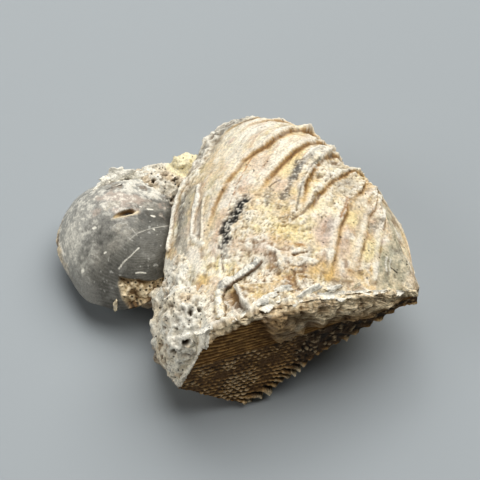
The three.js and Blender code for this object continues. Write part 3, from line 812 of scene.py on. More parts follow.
def makeLowerValve(look):
    # The bare valve moved along its normals by rows of beads, and set back in y below a line of teeth
    t, w = gridOf(look)
    s = growthAt(t, w)
    bare, outward = bareValve(bigLower, s, w), outwardOf(bigLower, s, w)
    slow, lumps, grit = noises(bare, look)
    ribHeight, crestHighlight, _ = ribShape(t + 0.006 * slow, np.minimum(w, 6))
    onFlank = fall(w, 13.3, 14.0)
    onRear = 1 - onFlank
    relief = ribHeight * window(w, 0.6, 2.5, 12.6, 13.4) * np.minimum(1, t / 0.4)
    relief += 0.25 * slow * onFlank + 0.14 * lumps + 0.1 * grit

    # Rows of beads: level lines, which bend down towards the line of teeth by half its reach x tanh
    x, y, z = np.moveaxis(bare, -1, 0)
    lineX, lineY, lineZ = look["toothLine"]
    above = z - np.interp(x, lineX, lineZ)
    bend = look["toothReach"] / 2 * np.tanh(2 * above / look["toothReach"])
    phase = (z - look["rowTilt"] * x - look["toothBend"] * bend) / look["rowSpacing"] + 0.22 * slow
    lines = np.sin(2 * np.pi * phase)
    uneven = np.sin(0.9 * phase)  # so that some teeth are longer than others
    toothed = 1 - 0.75 * ease(x + lumps, 10.0, 14.0)  # the teeth fade out towards the beak
    nearTeeth = toothed * fall(above, 0.2, look["toothReach"])
    along = x / look["beadLength"] + 0.5 * np.floor(phase) + 0.45 * lumps
    strings = ease(lines, -0.7, 0.9) * (0.75 + 0.32 * np.sin(2 * np.pi * along) * (1 - 0.6 * nearTeeth))
    clumps, clumpOwn = cells(bare, 1.0, seed=67)
    loose = fall(clumps, 0.2, 0.55) * (0.4 + 0.6 * clumpOwn)
    jumbled = ease(x + 2.5 * slow + 2 * lumps, 7.5, 12) * ease(above, 0, 1.5)  # no order near the beak
    beads = blend(strings * np.clip(0.95 + 0.5 * lumps, 0.6, 1.3), loose, jumbled)
    relief += onRear * (look["beadHeight"] * beads + jumbled * (0.25 * beads + 0.3 * lumps))
    teeth = ease(lines, -0.5, 0.7) * nearTeeth * (0.7 + 0.5 * uneven) * (0.8 + 0.5 * lumps)
    relief += onRear * look["toothHeight"] * (teeth - 0.4 * nearTeeth)

    # Below the line the valve stands back, less so under each tooth
    longer = look["toothStep"] * toothed * ease(lines, -0.4, 0.6) * (0.75 + 0.45 * uneven)
    stands = above + longer + 0.5 * (1 - toothed) * loose
    limit = np.interp(x, lineX, lineY) - look["undercut"] * stands
    under = ease(-stands, 0.0, 1.0) * ease(w, 12.0, 13.0)
    bare[..., 1] = np.where(stands < 0, np.maximum(y, limit), y)
    relief = relief * (1 - under)
    points = raised(bigLower, bare, outward, relief, t, w)

    # bronze over the raised beads is their own tone with a painted highlight; lit is a painted highlight on
    # their tops
    brown = ease(beads + 0.3 * grit + 0.3 * lumps, 0.2, 0.95)
    lit = ease(beads + 0.3 * lumps + 0.2 * grit, 0.76, 1.12)
    lit = lit * (0.22 + 0.3 * ease(lumps + 0.5 * slow, 0.0, 0.5))
    tips = ease(teeth + 0.4 * lumps, 0.3, 0.8) * fall(above + 0.8 * lumps, -0.3, 1.4)
    tint = layered(
        "beige",
        ("ochre", 0.5 * ease(slow, 0, 0.7)),
        ("umber", 0.6 * ease(-lumps, -0.1, 0.5)),
        # cream along the crests of the flank's ribs: a painted highlight
        ("cream", 0.5 * crestHighlight * onFlank),
        ("umber", onRear),
        ("bronze", 0.95 * onRear * brown * (1 - 0.6 * jumbled)),
        ("cream", onRear * lit * (1 - jumbled)),
        ("soot", 0.5 * onRear * jumbled),
        ("beige", 0.85 * onRear * jumbled * ease(loose + 0.15 * lumps, 0.4, 0.75)),
        # soot in the hollows between the beads: painted shade
        ("soot", 0.8 * onRear * ease(hollows(relief, 3) + 0.1 * lumps, 0.03, 0.18)),
        # beige teeth with cream tips: the teeth's own paler tone with a painted highlight from above
        ("beige", 0.85 * onRear * ease(teeth, 0.2, 0.8) * fall(above, 0.0, 3.0)),
        ("cream", 0.85 * onRear * tips),
        # umber where the valve stands back below the teeth: painted shade
        ("umber", 0.9 * under),
    )

    points, faces, tint, dull = closedValve(bigLower, t, points, tint, 0.7)
    points, cutCorner = cutFlat(points, cornerBreak)
    points, cutKeel = cutFlat(points, keelBreak)
    points[:, 2] = np.maximum(points[:, 2], 0.0)
    tint = over(over(tint, "white", 0.8 * cutCorner), "umber", 0.8 * cutKeel)
    return addMesh("ribbed_lower_valve", points, faces, tint, dull)


# Small shell: a smooth grey dome with fine growth lines, a slit and scratches, and its flatter underside

smallLook = {
    "noise": [(7.0, 4, 71), (2.0, 4, 81), (0.7, 3, 86)],
    "edgeMiddle": 8.75,  # where along the outline the edge stands out beyond the plain spiral
    "edgeReach": 1.3,  # by how much, mm
    "rows": ([0, 0.04, 1], [4, 256]),
    "columns": ([0, 2, 9, 13, 15], [24, 190, 100, 36]),
    "growthLines": 46,
    "lineHeight": 0.006,  # mm
    "veins": 7,  # pale veins between the beak and the edge
    "rimMiddle": 6.3,  # of the speckled crust on the edge, along the outline
    "warmMiddle": (-24.0, 41.3),  # of the brownish patch above the slit, mm
    "warmHalf": (5.5, 3.2),
    "slitMiddle": (-24.2, 37.5),
    "slitHalf": (2.7, 0.9),
    "slitTurn": 27,  # degrees
    "slitDepth": 1.1,
    "broken": ([9.87, 10.86, 11.63, 12.17], [0.817, 0.83, 0.883, 0.917]),  # start of the lost corner
    "scratches": [  # route over the dome seen from above (mm), half width and strength
        ([(-24.8, 25.5), (-23.8, 26.6), (-22.4, 27.7), (-20.8, 29.4)], 0.13, 0.8),
        ([(-21.3, 24.7), (-20.2, 24.9), (-19.3, 24.9)], 0.13, 0.9),
        ([(-29.2, 43.8), (-27.4, 45.4), (-25.8, 47.0)], 0.15, 0.7),
        ([(-22.7, 31.1), (-21.1, 32.7), (-18.9, 34.1), (-16.5, 35.4), (-14.8, 36.4)], 0.12, 0.45),
        ([(-22.4, 33.6), (-21.2, 32.0)], 0.1, 0.4),
        ([(-28.4, 44.6), (-26.6, 46.0), (-24.0, 47.4)], 0.16, -1.0),  # below 0: a dark crack
    ],
    "flecks": [  # white chips: middle and half sizes, mm
        ((-20.9, 39.9), (0.4, 0.25)),
        ((-18.9, 39.7), (0.7, 0.25)),
        ((-18.3, 37.9), (0.5, 0.3)),
        ((-27.6, 29.0), (0.4, 0.2)),
        ((-17.9, 34.2), (0.45, 0.4)),
        ((-30.3, 34.4), (0.35, 0.3)),
        ((-32.3, 27.5), (0.3, 0.5)),
    ],
}


def growthRings(look, t, slow):  # sines along the growth, closer together towards the edge
    return np.sin(2 * np.pi * (look["growthLines"] * t**1.3 + 0.5 * slow))


def makeSmallUpper(look):
    # The bare valve moved along its normals by rings, a slit, scratches and crust, and its edge outwards
    t, w = gridOf(look)
    bare, outward = bareValve(smallUpper, t, w), outwardOf(smallUpper, t, w)
    x, y = bare[..., 0], bare[..., 1]
    slow, lumps, grit = noises(bare, look)
    rings = growthRings(look, t, slow)
    ringReach = np.clip(0.45 + slow, 0.0, 1.0)
    relief = look["lineHeight"] * rings * ringReach + 0.12 * slow + 0.05 * lumps + 0.03 * grit
    crustedTop = ease(y + 1.5 * lumps, 42.5, 45.5) * ease(x, -31, -27)
    relief += 0.25 * crustedTop * (lumps + 0.5 * grit)

    # The slit, in its own turned axes
    turn = math.radians(look["slitTurn"])
    dx, dy = x - look["slitMiddle"][0], y - look["slitMiddle"][1]
    across = (-dx * math.sin(turn) + dy * math.cos(turn)) / look["slitHalf"][1]
    along = (dx * math.cos(turn) + dy * math.sin(turn)) / look["slitHalf"][0]
    away = np.hypot(np.abs(along) ** 1.3, across * (1.15 - 0.35 * along)) + 0.08 * lumps
    lip = bell(away, 1.08, 0.22) * ease(-across, 0.0, 0.8)
    relief += 0.15 * lip - look["slitDepth"] * fall(away, 0.5, 1.0)

    # Scratches, a crack and white chips
    scratch, crack, fleck = np.zeros_like(t), np.zeros_like(t), np.zeros_like(t)
    for route, half, strength in look["scratches"]:
        line = fall(farFrom(bare[..., :2], np.array(route)) + 0.06 * grit, 0.6 * half, 1.3 * half)
        if strength > 0:
            scratch = np.maximum(scratch, strength * line)
        else:
            crack = np.maximum(crack, line)
    for (xMiddle, yMiddle), (xHalf, yHalf) in look["flecks"]:
        spread = np.hypot((x - xMiddle) / xHalf, (y - yMiddle) / yHalf) + 0.7 * grit + 0.4 * lumps
        fleck = np.maximum(fleck, fall(spread, 0.7, 1.1))
    relief += 0.06 * scratch - 0.3 * crack

    # Its lost corner, where brown porous rock shows, and the crust on its edge
    lostFrom = np.interp(w, *look["broken"])
    lost = ease(t + 0.01 * lumps, lostFrom, lostFrom + 0.015) * fall(w, 12.8, 13.3)
    lost = lost * ease(w - 3.8 * (t - lostFrom) + 0.1 * lumps, 9.75, 9.95)
    hole = fall(cells(bare, 0.9, seed=89)[0], 0.15, 0.4)
    nearRim = bell(w, look["rimMiddle"], 0.9)
    rimCrust = ease(t + 0.015 * lumps, 0.955, 0.975) * nearRim
    relief += 0.35 * ease(t, 0.94, 0.97) * nearRim * (0.5 + lumps + 0.5 * grit)
    relief = blend(relief, -0.9 + 0.8 * lumps + 0.4 * grit - 0.5 * hole, lost)
    points = raised(smallUpper, bare, outward, relief, t, w)

    # The part of its edge that stands out, away from the beak within the valve plane
    growth, front, _ = axesOf(smallShell)
    outline = outlineAt(smallShell, w)
    outwards = unit(outline[..., :1] * growth + outline[..., 1:] * front)
    edgeOut = look["edgeReach"] * bell(w, look["edgeMiddle"], 0.8) * ease(t, 0.7, 1.0)
    points += outwards * edgeOut[..., None]

    # lighter towards the upper left: a painted sheen on the dome
    sheenSide = ease(-0.65 * (x + 25) + 0.75 * (y - 31) + 3 * slow, -1.0, 10.0)
    veins = fall(np.abs(np.sin(np.pi * (look["veins"] * t + 0.9 * slow + 0.15 * lumps))), 0.0, 0.16)
    (warmX, warmY), (warmHalfX, warmHalfY) = look["warmMiddle"], look["warmHalf"]
    warm = fall(np.hypot((x - warmX) / warmHalfX, (y - warmY) / warmHalfY) + lumps, 0.4, 1.3)
    tint = layered(
        "slate",
        # soot away from the sheen and towards the front: painted shade
        ("soot", 0.4 * ease(-slow, -0.2, 0.7) * (1 - sheenSide)),
        ("soot", 0.35 * fall(y + 3 * slow, 22, 31)),
        ("ash", 0.95 * sheenSide),
        ("white", 0.45 * sheenSide * ease(slow + 0.4 * lumps, -0.2, 0.6)),
        ("beige", 0.35 * sheenSide * ease(lumps + slow, 0.0, 0.7) * ease(x, -31, -28)),
        ("ash", 0.14 * ringReach * ease(rings, 0.0, 1.0) + 0.25 * ease(lumps, 0.2, 0.8)),
        ("soot", 0.3 * ease(-grit, 0.2, 0.7)),
        # ash along the left part of the rim: a painted reflection
        ("ash", 0.6 * ease(t + 0.05 * lumps, 0.86, 0.95) * ease(-x, 27, 31)),
        ("white", 0.55 * sheenSide * ease(grit + 0.3 * lumps, 0.1, 0.6)),
        ("white", 0.5 * veins * ease(sheenSide, 0.0, 0.5) * ease(lumps + slow, -0.4, 0.2)),
        ("rose", 0.45 * warm),
        ("white", 0.4 * warm * ease(grit, 0.0, 0.5)),
        ("umber", 0.7 * rimCrust),
        ("cream", 0.7 * rimCrust * ease(lumps + grit, 0.0, 0.4)),
        ("ash", 0.9 * crustedTop),
        ("white", 0.7 * crustedTop * ease(lumps + 0.6 * grit, -0.1, 0.5)),
        ("umber", 0.5 * crustedTop * ease(-lumps, 0.1, 0.5)),
        ("ash", 0.7 * ease(rough(bare, 0.8, 2, seed=88), 0.86, 0.98)),
        ("white", np.maximum(0.85 * fleck, 0.8 * scratch)),
        ("soot", crack),
        # inside the slit: umber and soot as painted shade, cream on one inner wall as painted light
        ("umber", fall(away, 0.75, 1.0)),
        ("cream", 0.9 * fall(away, 0.7, 1.0) * ease(-along - 1.5 * across, -0.8, 0.2)),
        ("soot", fall(away, 0.5, 0.8) * ease(along + 0.3 * across, -0.3, 0.5)),
        ("beige", lost),
        ("cream", 0.8 * lost * ease(lumps, 0.1, 0.5)),
        ("umber", 0.9 * lost * ease(-lumps + 0.3 * grit, -0.3, 0.3)),
        # soot in the pits: painted shade
        ("soot", 0.9 * lost * hole),
        ("cream", lip),
    )
    dull = 0.42 + 0.2 * ease(slow, -0.3, 0.6) + 0.3 * np.maximum(crustedTop, lost)
    return addMesh("smooth_upper_valve", *closedValve(smallUpper, t, points, tint, dull))


smallLowerLook = {
    "noise": [(6.0, 4, 101), (1.6, 4, 111)],
    "rows": ([0, 0.04, 1], [4, 150]),
    "columns": ([0, 2, 9, 13, 15], [20, 120, 70, 26]),
    "growthLines": 46,
    "lineHeight": 0.04,  # mm
}


def makeSmallLower(look):
    # The bare valve moved along its normals by growth rings and noise
    t, w = gridOf(look)
    bare, outward = bareValve(smallLower, t, w), outwardOf(smallLower, t, w)
    slow, lumps = noises(bare, look)
    relief = look["lineHeight"] * growthRings(look, t, slow) + 0.15 * slow + 0.1 * lumps
    points = raised(smallLower, bare, outward, relief, t, w)
    tint = layered("slate", ("beige", 0.5 * ease(slow, 0.0, 0.7)), ("soot", 0.35 * ease(-lumps, 0.0, 0.7)))
    return addMesh("smooth_lower_valve", *closedValve(smallLower, t, points, tint, 0.65))


# Rock: rounded lumps joined into one body, then pitted and roughened

knobMiddle = (-11.8, 53.6, 12.2)  # of the yellow calcite knob, mm
rockLook = {
    "noise": [(5.0, 4, 121), (1.9, 4, 131), (0.8, 3, 141)],
    "lumps": [  # middle and half sizes in mm
        ((-9.4, 18.5, 11.5), (6.4, 11.5, 11)),  # upper part of the broken corner
        ((-12.3, 14.5, 7.6), (5.9, 9.5, 7.6)),  # its foot
        ((-9.3, 10, 14.5), (6.8, 8.6, 11.5)),  # lower part of the broken corner
        ((-10.4, 4.3, 14.5), (4.4, 3.5, 9)),  # front of the broken corner
        ((-12.4, 32, 7.2), (5.8, 12, 7.2)),  # web between the two shells
        ((-16, 49.8, 7.6), (11, 6.4, 6.3)),  # ledge behind the small shell
        (knobMiddle, (3.6, 2.8, 2.9)),
        ((-10, 36, 3.5), (10, 13, 5.5)),  # bed under the shells
        ((-18.3, 24.0, 7.0), (4.0, 3.5, 2.6)),  # brown rock under the front of the small shell
        ((-14.6, 19.5, 9.0), (3.6, 4.2, 5.0)),  # rock beside its broken corner
    ],
    "steps": 72,  # of each lump from pole to pole
    "waviness": 0.5,  # mm
    "voxel": 0.3,  # mm
    "pitSize": 2.6,  # between large pits, mm
    "pitDepth": 1.3,
    "smallPitSize": 1.0,
    "smallPitDepth": 0.35,
}


def lumpGrid(middle, half):  # a ball as a closed grid, stretched and made wavy by three crossed waves
    steps = rockLook["steps"]
    turn, rise = np.meshgrid(np.linspace(0, 2 * np.pi, 2 * steps + 1), np.linspace(0, np.pi, steps + 1))
    way = np.stack([np.sin(rise) * np.cos(turn), np.sin(rise) * np.sin(turn), np.cos(rise)], -1)
    place = way * half + middle
    x, y, z = np.moveaxis(place, -1, 0)
    wave = (np.sin(x * 0.9 + y * 0.5) + np.sin(y * 0.8 - z * 1.1 + 2) + np.sin(z * 0.9 + x * 0.7 + 4)) / 3
    place = place + way * (rockLook["waviness"] * wave)[..., None]
    return place.reshape(-1, 3), gridTriangles(closedIndex(place))[:, ::-1]


def makeRock(look):
    # All lumps joined into one skin, whose points move along their normals by noise less two sizes of pits
    points, faces = joined([lumpGrid(middle, half) for middle, half in look["lumps"]])
    rock = addMesh("pitted_rock", points, faces, np.ones_like(points), 1.0)
    join = rock.modifiers.new("join", "REMESH")
    join.mode, join.voxel_size = "VOXEL", look["voxel"] * mm
    finished = bpy.data.meshes.new_from_object(rock.evaluated_get(bpy.context.evaluated_depsgraph_get()))
    rock.modifiers.clear()
    rock.data = finished
    count = len(finished.vertices)
    place, normal = np.empty(count * 3), np.empty(count * 3)
    finished.vertices.foreach_get("co", place)
    finished.vertices.foreach_get("normal", normal)
    place = place.reshape(-1, 3) / mm + restingOrigin

    slow, lumps, grit = noises(place, look)
    away, own = cells(place + 0.5 * lumps[:, None], look["pitSize"], seed=151)
    pit = fall(away + 0.15 * grit, 0.12, 0.34) * (own > 0.45)
    away, own = cells(place + 0.2 * grit[:, None], look["smallPitSize"], seed=161)
    smallPit = fall(away, 0.12, 0.36) * (own > 0.6)
    ridge = fall(np.abs(lumps), 0.0, 0.25)
    relief = 0.25 * slow + 0.6 * lumps + 0.26 * grit - 0.15 * ridge
    relief -= look["pitDepth"] * pit + look["smallPitDepth"] * smallPit
    place = place + normal.reshape(-1, 3) * relief[:, None]
    place[:, 2] = np.maximum(place[:, 2], 0.0)

    knob = fall(np.linalg.norm(place - np.array(knobMiddle), axis=1), 3.5, 5.0)
    underShell = fall(place[:, 2], 7.0, 10.0) * fall(place[:, 0], -15.5, -13.5)
    tint = layered(
        "white",
        ("cream", 0.55 * ease(slow, -0.4, 0.5)),
        ("beige", 0.3 * ease(-lumps + 0.3 * grit, 0.1, 0.5)),
        ("ash", 0.2 * clouds(place, 2.4, 175, 0.1, 0.5)),
        ("bronze", 0.4 * clouds(place, 3.0, 171, 0.3, 0.6)),
        # umber and soot in the pits: painted shade; umber from the grit is the rock's own colour
        ("umber", 0.5 * ease(-grit, 0.3, 0.7) + 0.9 * pit + 0.7 * smallPit),
        ("soot", 0.6 * pit),
        ("umber", 0.6 * underShell),
        ("lemon", knob),
        ("white", 0.45 * knob),
    )
    finished.vertices.foreach_set("co", inFrame(place))
    finished.update()
    paintMesh(finished, tint, np.full(count, 0.92))
    return rock


# Worm tube: a thin tube of lime with rings, carried along a curve on the upper valve

tubeLook = {
    "route": [  # growth and outline places
        (0.64, 12.3), (0.67, 12.57), (0.715, 12.76), (0.745, 12.9), (0.754, 13.12), (0.747, 13.38),
        (0.73, 13.8),
    ],
    "half": (0.85, 0.45),  # width and height, mm
    "lift": 0.6,  # of its middle above the flank, mm
    "steps": 200,
    "spokes": 40,
}


def makeTube(look):
    # Rings of half width x cos and half height x sin round a smooth curve, thinner at its ends
    growth, place = np.array(look["route"]).T
    bed, above = bareValve(bigUpper, growth, place), facingOf(bigUpper, growth, place)
    share = np.linspace(0, 1, look["steps"])
    middle = curveThrough(bed + above * look["lift"], share)
    along = unit(np.gradient(middle, axis=0))
    aside = unit(np.cross(along, curveThrough(above, share)))
    up = np.cross(aside, along)
    turn = np.linspace(0, 2 * np.pi, look["spokes"] + 1)
    taper = np.sqrt(np.clip(1 - (2 * share - 1) ** 30, 0, 1))
    rings = 1 + 0.03 * np.sin(share * 260) + 0.3 * np.sin(share * 23) * np.sin(share * 9 + 1)
    thickness = taper * rings * blend(0.55, 1.0, ease(share, 0.0, 0.4))
    width, height = (half * thickness for half in look["half"])
    points = middle[:, None] + aside[:, None] * (np.cos(turn) * width[:, None])[..., None]
    points = points + up[:, None] * (np.sin(turn) * height[:, None])[..., None]
    lumps = rough(points, 1.3, 4, seed=181)
    ragged = 0.45 * terraces(0.5 + 0.5 * lumps, 3) + 0.2 * lumps
    points = points + unit(points - middle[:, None]) * (ragged * taper[:, None])[..., None]
    tint = layered(
        "ash",
        ("cream", ease(share[:, None] + 0.1 * lumps, 0.5, 0.65)),
        # white along its top: a painted highlight; umber down one side: painted shade
        ("white", 0.9 * ease(np.sin(turn) + 0.6 * lumps, 0.6, 1.0)),
        ("umber", 0.8 * ease(-np.cos(turn) + 0.3 * lumps, 0.5, 1.0)),
    )
    faces = gridTriangles(closedIndex(points))
    return addMesh("lime_tube", points.reshape(-1, 3), faces, tint.reshape(-1, 3), 0.8)


# Lips: broken edges of the outer shell layer, each a thin ragged strip that leaves the flank and overhangs
# the keel

lipLook = {
    "steps": 420,
    "spokes": 44,
    "keel": 13.9,  # outline place
    "thickness": 0.5,  # mm
    "ragged": 1.0,  # mm
    "firstSeed": 300,
    # Growth at both ends, outline place of the root, and reach past the keel in mm at growth stops
    "strips": [
        (
            (0.55, 0.06),
            13.6,
            (
                [0.06, 0.09, 0.13, 0.18, 0.25, 0.29, 0.33, 0.43, 0.48, 0.52, 0.55],
                [0.5, 1.6, 1.0, 0.9, 1.0, 1.5, 0.8, 0.6, 0.7, 0.9, 0.3],
            ),
        ),
        ((0.53, 0.30), 13.3, ([0.30, 0.36, 0.42, 0.48, 0.53], [-2.0, -0.9, -0.6, -0.8, -1.8])),
        ((0.74, 0.58), 13.78, ([0.58, 0.62, 0.65, 0.68, 0.72, 0.74], [0.4, 1.1, 0.5, 1.3, 0.9, 0.3])),
    ],
}


def lipStrip(look, ends, root, reachStops, seed):
    # From a root on the flank straight on past the keel; top and bottom are half a thickness to either
    # side, and both meet at the root and at the ragged edge
    along = np.linspace(0, 1, look["steps"])
    t = blend(*ends, along)
    rootPlace, keelPlace = np.full_like(t, root), np.full_like(t, look["keel"])
    start = bareValve(bigUpper, growthAt(t, rootPlace), rootPlace)
    keelLine = bareValve(bigUpper, growthAt(t, keelPlace), keelPlace)
    above = facingOf(bigUpper, growthAt(t, rootPlace), rootPlace)
    teeth = rough(np.stack([t * 55, t * 0, t * 0 + seed], -1), 1.6, 4, seed=seed)
    length = np.linalg.norm(keelLine - start, axis=-1) + np.interp(t, *reachStops) + look["ragged"] * teeth
    turn = np.linspace(0, 2 * np.pi, look["spokes"] + 1)
    share, side = 0.5 - 0.5 * np.cos(turn), np.sin(turn)
    taper = np.sqrt(np.clip(1 - (2 * along - 1) ** 20, 0, 1))
    away = share * np.maximum(length, 0.3)[:, None]
    points = start[:, None] + away[..., None] * unit(keelLine - start)[:, None]
    warp = 0.22 * rough(points, 1.8, 3, seed=seed + 1)
    thick = 0.5 * look["thickness"] * np.sign(side) * np.abs(side) ** 0.5 * taper[:, None]
    lift = 0.2 + 0.3 * share
    points = points + (thick + lift + warp)[..., None] * above[:, None]
    tint = layered(
        "white",
        ("cream", 0.8 * clouds(points, 1.5, seed + 2, -0.1, 0.5)),
        ("ash", 0.7 * fall(share + 0.3 * warp, 0.3, 0.7)),
        # umber on the underside of the lip: painted shade
        ("umber", 0.8 * ease(-side + 0.5 * warp, 0.3, 0.8)),
    )
    return points.reshape(-1, 3), gridTriangles(closedIndex(points)), tint.reshape(-1, 3)


# Flakes: broken bits of shell that stand up from the surface, as thin ragged plates

flakeLook = {
    "thickness": 0.4,  # mm
    "lift": 1.1,  # above the valve, mm
    "firstSeeds": (200, 260),
    "steps": 12,  # from the middle of a flake to its edge
    "spokes": 72,
    "onValve": [  # both ends as valve places (t, w), half width in mm, lean in degrees, colour
        ((0.632, 13.05), (0.575, 13.97), 0.6, 70, "white"),
        ((0.565, 13.8), (0.50, 13.6), 0.9, 30, "white"),
        ((0.52, 13.4), (0.45, 13.45), 0.7, 30, "white"),
        ((0.438, 13.92), (0.365, 13.4), 0.8, 55, "white"),
        ((0.35, 13.7), (0.31, 13.5), 0.5, 50, "white"),
        ((0.27, 13.6), (0.245, 13.3), 0.5, 50, "cream"),
        ((0.10, 13.2), (0.055, 13.6), 0.9, 35, "cream"),
    ],
    "free": [  # middle in mm, long and wide directions, half sizes in mm, colour
        ((-26.6, 49.4, 14.3), (1, 0.25, 0.05), (0, 0.75, 0.6), (3.4, 1.5), "white"),
        ((-29.9, 46.6, 14.2), (0.75, 0.66, 0), (-0.2, 0.6, 0.7), (2.0, 0.9), "white"),
        ((-22.3, 50.2, 13.2), (1, 0.1, 0.1), (0, 0.7, 0.7), (2.6, 0.9), "white"),
        ((-25.6, 20.2, 8.3), (0.1, 0.3, 0.95), (1, -0.2, 0.1), (1.5, 0.45), "cream"),
    ],
}


def flakePlate(spot, long, wide, half, colour, seed):
    # A disc in polar steps whose radius is ragged, top and bottom a little apart at the middle
    steps, columns = flakeLook["steps"], flakeLook["spokes"] + 1
    turn = np.linspace(0, 2 * np.pi, columns)
    radius, angle = np.meshgrid(np.linspace(0, 1, steps), turn, indexing="ij")
    ring = np.stack([np.cos(angle), np.sin(angle), np.zeros_like(angle)], -1)
    ragged = 1 + 0.4 * rough(ring, 0.7, 3, seed=seed)
    x, y = radius * np.cos(angle) * ragged * half[0], radius * np.sin(angle) * ragged * half[1]
    thick = flakeLook["thickness"] / 2 * np.sqrt(np.clip(1 - radius**4, 0, 1))
    warp = 0.25 * rough(np.stack([x, y, x * 0 + seed], -1), 1.5, 3, seed=seed + 1)
    flat = spot + x[..., None] * long + y[..., None] * wide
    level = np.cross(long, wide)
    sheets = [flat + height[..., None] * level for height in (warp + thick, warp - thick)]
    index = np.arange(steps * columns).reshape(steps, columns)
    index[:, -1] = index[:, 0]
    index[0, :] = 0
    below = index + index.size
    below[-1] = index[-1]
    faces = np.concatenate([gridTriangles(index), gridTriangles(below)[:, ::-1]])
    points = np.concatenate([sheet.reshape(-1, 3) for sheet in sheets])
    return points, faces, layered(colour, ("ash", 0.5 * clouds(points, 1.2, seed + 2, 0.0, 0.6)))


def flakeOnValve(start, end, halfWidth, lean, colour, seed):
    # A flake whose long side runs between two places of the flank, lifted and leaned out of its surface
    places = np.array([start, end])
    s = growthAt(places[:, 0], places[:, 1])
    ends, above = bareValve(bigUpper, s, places[:, 1]), facingOf(bigUpper, s, places[:, 1])
    above = unit(above.sum(axis=0))
    long = unit(ends[1] - ends[0])
    leaned = math.radians(lean)
    wide = unit(np.cross(above, long)) * math.cos(leaned) + above * math.sin(leaned)
    spot = ends.mean(axis=0) + above * (flakeLook["lift"] + 0.6 * halfWidth * math.sin(leaned))
    half = (0.5 * np.linalg.norm(ends[1] - ends[0]), halfWidth)
    return flakePlate(spot, long, wide, half, colour, seed)


def makeFlakes(look):
    lipSeed, (valveSeed, freeSeed) = lipLook["firstSeed"], look["firstSeeds"]
    parts = [lipStrip(lipLook, *strip, lipSeed + 10 * k) for k, strip in enumerate(lipLook["strips"])]
    parts += [flakeOnValve(*flake, valveSeed + 5 * k) for k, flake in enumerate(look["onValve"])]
    for k, (spot, long, wide, half, colour) in enumerate(look["free"]):
        long = unit(np.array(long, float))
        wide = unit(np.array(wide) - long * long.dot(wide))
        parts.append(flakePlate(np.array(spot), long, wide, half, colour, freeSeed + 5 * k))
    return addMesh("shell_flakes", *joined(parts), 0.8)


# Materials: the painted tint with fine grain in colour and bump

grainValues = ("Grain size", "Contrast", "Speck size", "Speck share", "Speck depth")
finishes = {  # bump height in mm, then the grain's values, with sizes in mm
    "weathered_shell": (0.2, 0.5, 0.25, 0.7, 0.06, 0.6),
    "dark_shell": (0.3, 0.4, 0.4, 1.0, 0.0, 0.0),
    "smooth_grey_shell": (0.05, 0.35, 0.16, 1.0, 0.0, 0.0),
    "porous_rock": (0.35, 0.6, 0.25, 0.75, 0.3, 0.8),
    "tube_lime": (0.2, 0.4, 0.25, 1.0, 0.0, 0.0),
}


def makeGrain():
    # Group: noise darkens and lightens a tint, dark specks lie over it, and both give the bump's height
    group = bpy.data.node_groups.new("mineral grain", "ShaderNodeTree")
    group.interface.new_socket("Tint", in_out="INPUT", socket_type="NodeSocketColor")
    for name in grainValues:
        group.interface.new_socket(name, in_out="INPUT", socket_type="NodeSocketFloat")
    group.interface.new_socket("Colour", in_out="OUTPUT", socket_type="NodeSocketColor")
    group.interface.new_socket("Height", in_out="OUTPUT", socket_type="NodeSocketFloat")
    nodes, links = group.nodes, group.links
    inside, outside = nodes.new("NodeGroupInput"), nodes.new("NodeGroupOutput")
    place = nodes.new("ShaderNodeTexCoord")

    def number(operation, first, second, third=None):  # a Math node; each value is a number or a socket
        node = nodes.new("ShaderNodeMath")
        node.operation = operation
        for socket, value in zip(node.inputs, (first, second, third)):
            if isinstance(value, (int, float)):
                socket.default_value = value
            elif value is not None:
                links.new(value, socket)
        return node.outputs[0]

    def ramp(value, low, high, outLow, outHigh):  # a value spread over a new range, with soft ends
        node = nodes.new("ShaderNodeMapRange")
        node.interpolation_type = "SMOOTHSTEP"
        for socket, limit in zip(list(node.inputs)[1:5], (low, high, outLow, outHigh)):
            socket.default_value = limit
        links.new(value, node.inputs["Value"])
        return node.outputs["Result"]

    fine = nodes.new("ShaderNodeTexNoise")
    fine.inputs["Detail"].default_value = 4.0
    fine.inputs["Roughness"].default_value = 0.65
    links.new(place.outputs["Object"], fine.inputs["Vector"])
    links.new(number("DIVIDE", 1 / mm, inside.outputs["Grain size"]), fine.inputs["Scale"])
    specks = nodes.new("ShaderNodeTexVoronoi")
    links.new(place.outputs["Object"], specks.inputs["Vector"])
    links.new(number("DIVIDE", 1 / mm, inside.outputs["Speck size"]), specks.inputs["Scale"])
    own = nodes.new("ShaderNodeSeparateColor")
    links.new(specks.outputs["Color"], own.inputs["Color"])
    present = number("LESS_THAN", own.outputs[0], inside.outputs["Speck share"])
    spread = number("MULTIPLY_ADD", fine.outputs["Fac"], 0.5, specks.outputs["Distance"])
    speck = number("MULTIPLY", ramp(spread, 0.38, 0.55, 1.0, 0.0), present)
    swing = ramp(fine.outputs["Fac"], 0.3, 0.7, -1.0, 1.0)
    strength = number("MULTIPLY_ADD", swing, inside.outputs["Contrast"], 1.0)
    left = number("MULTIPLY_ADD", speck, number("MULTIPLY", inside.outputs["Speck depth"], -1.0), 1.0)
    scaled = nodes.new("ShaderNodeVectorMath")
    scaled.operation = "SCALE"
    links.new(inside.outputs["Tint"], scaled.inputs[0])
    links.new(number("MULTIPLY", strength, left), scaled.inputs["Scale"])
    links.new(scaled.outputs["Vector"], outside.inputs["Colour"])
    links.new(number("SUBTRACT", fine.outputs["Fac"], speck), outside.inputs["Height"])
    return group


grain = makeGrain()


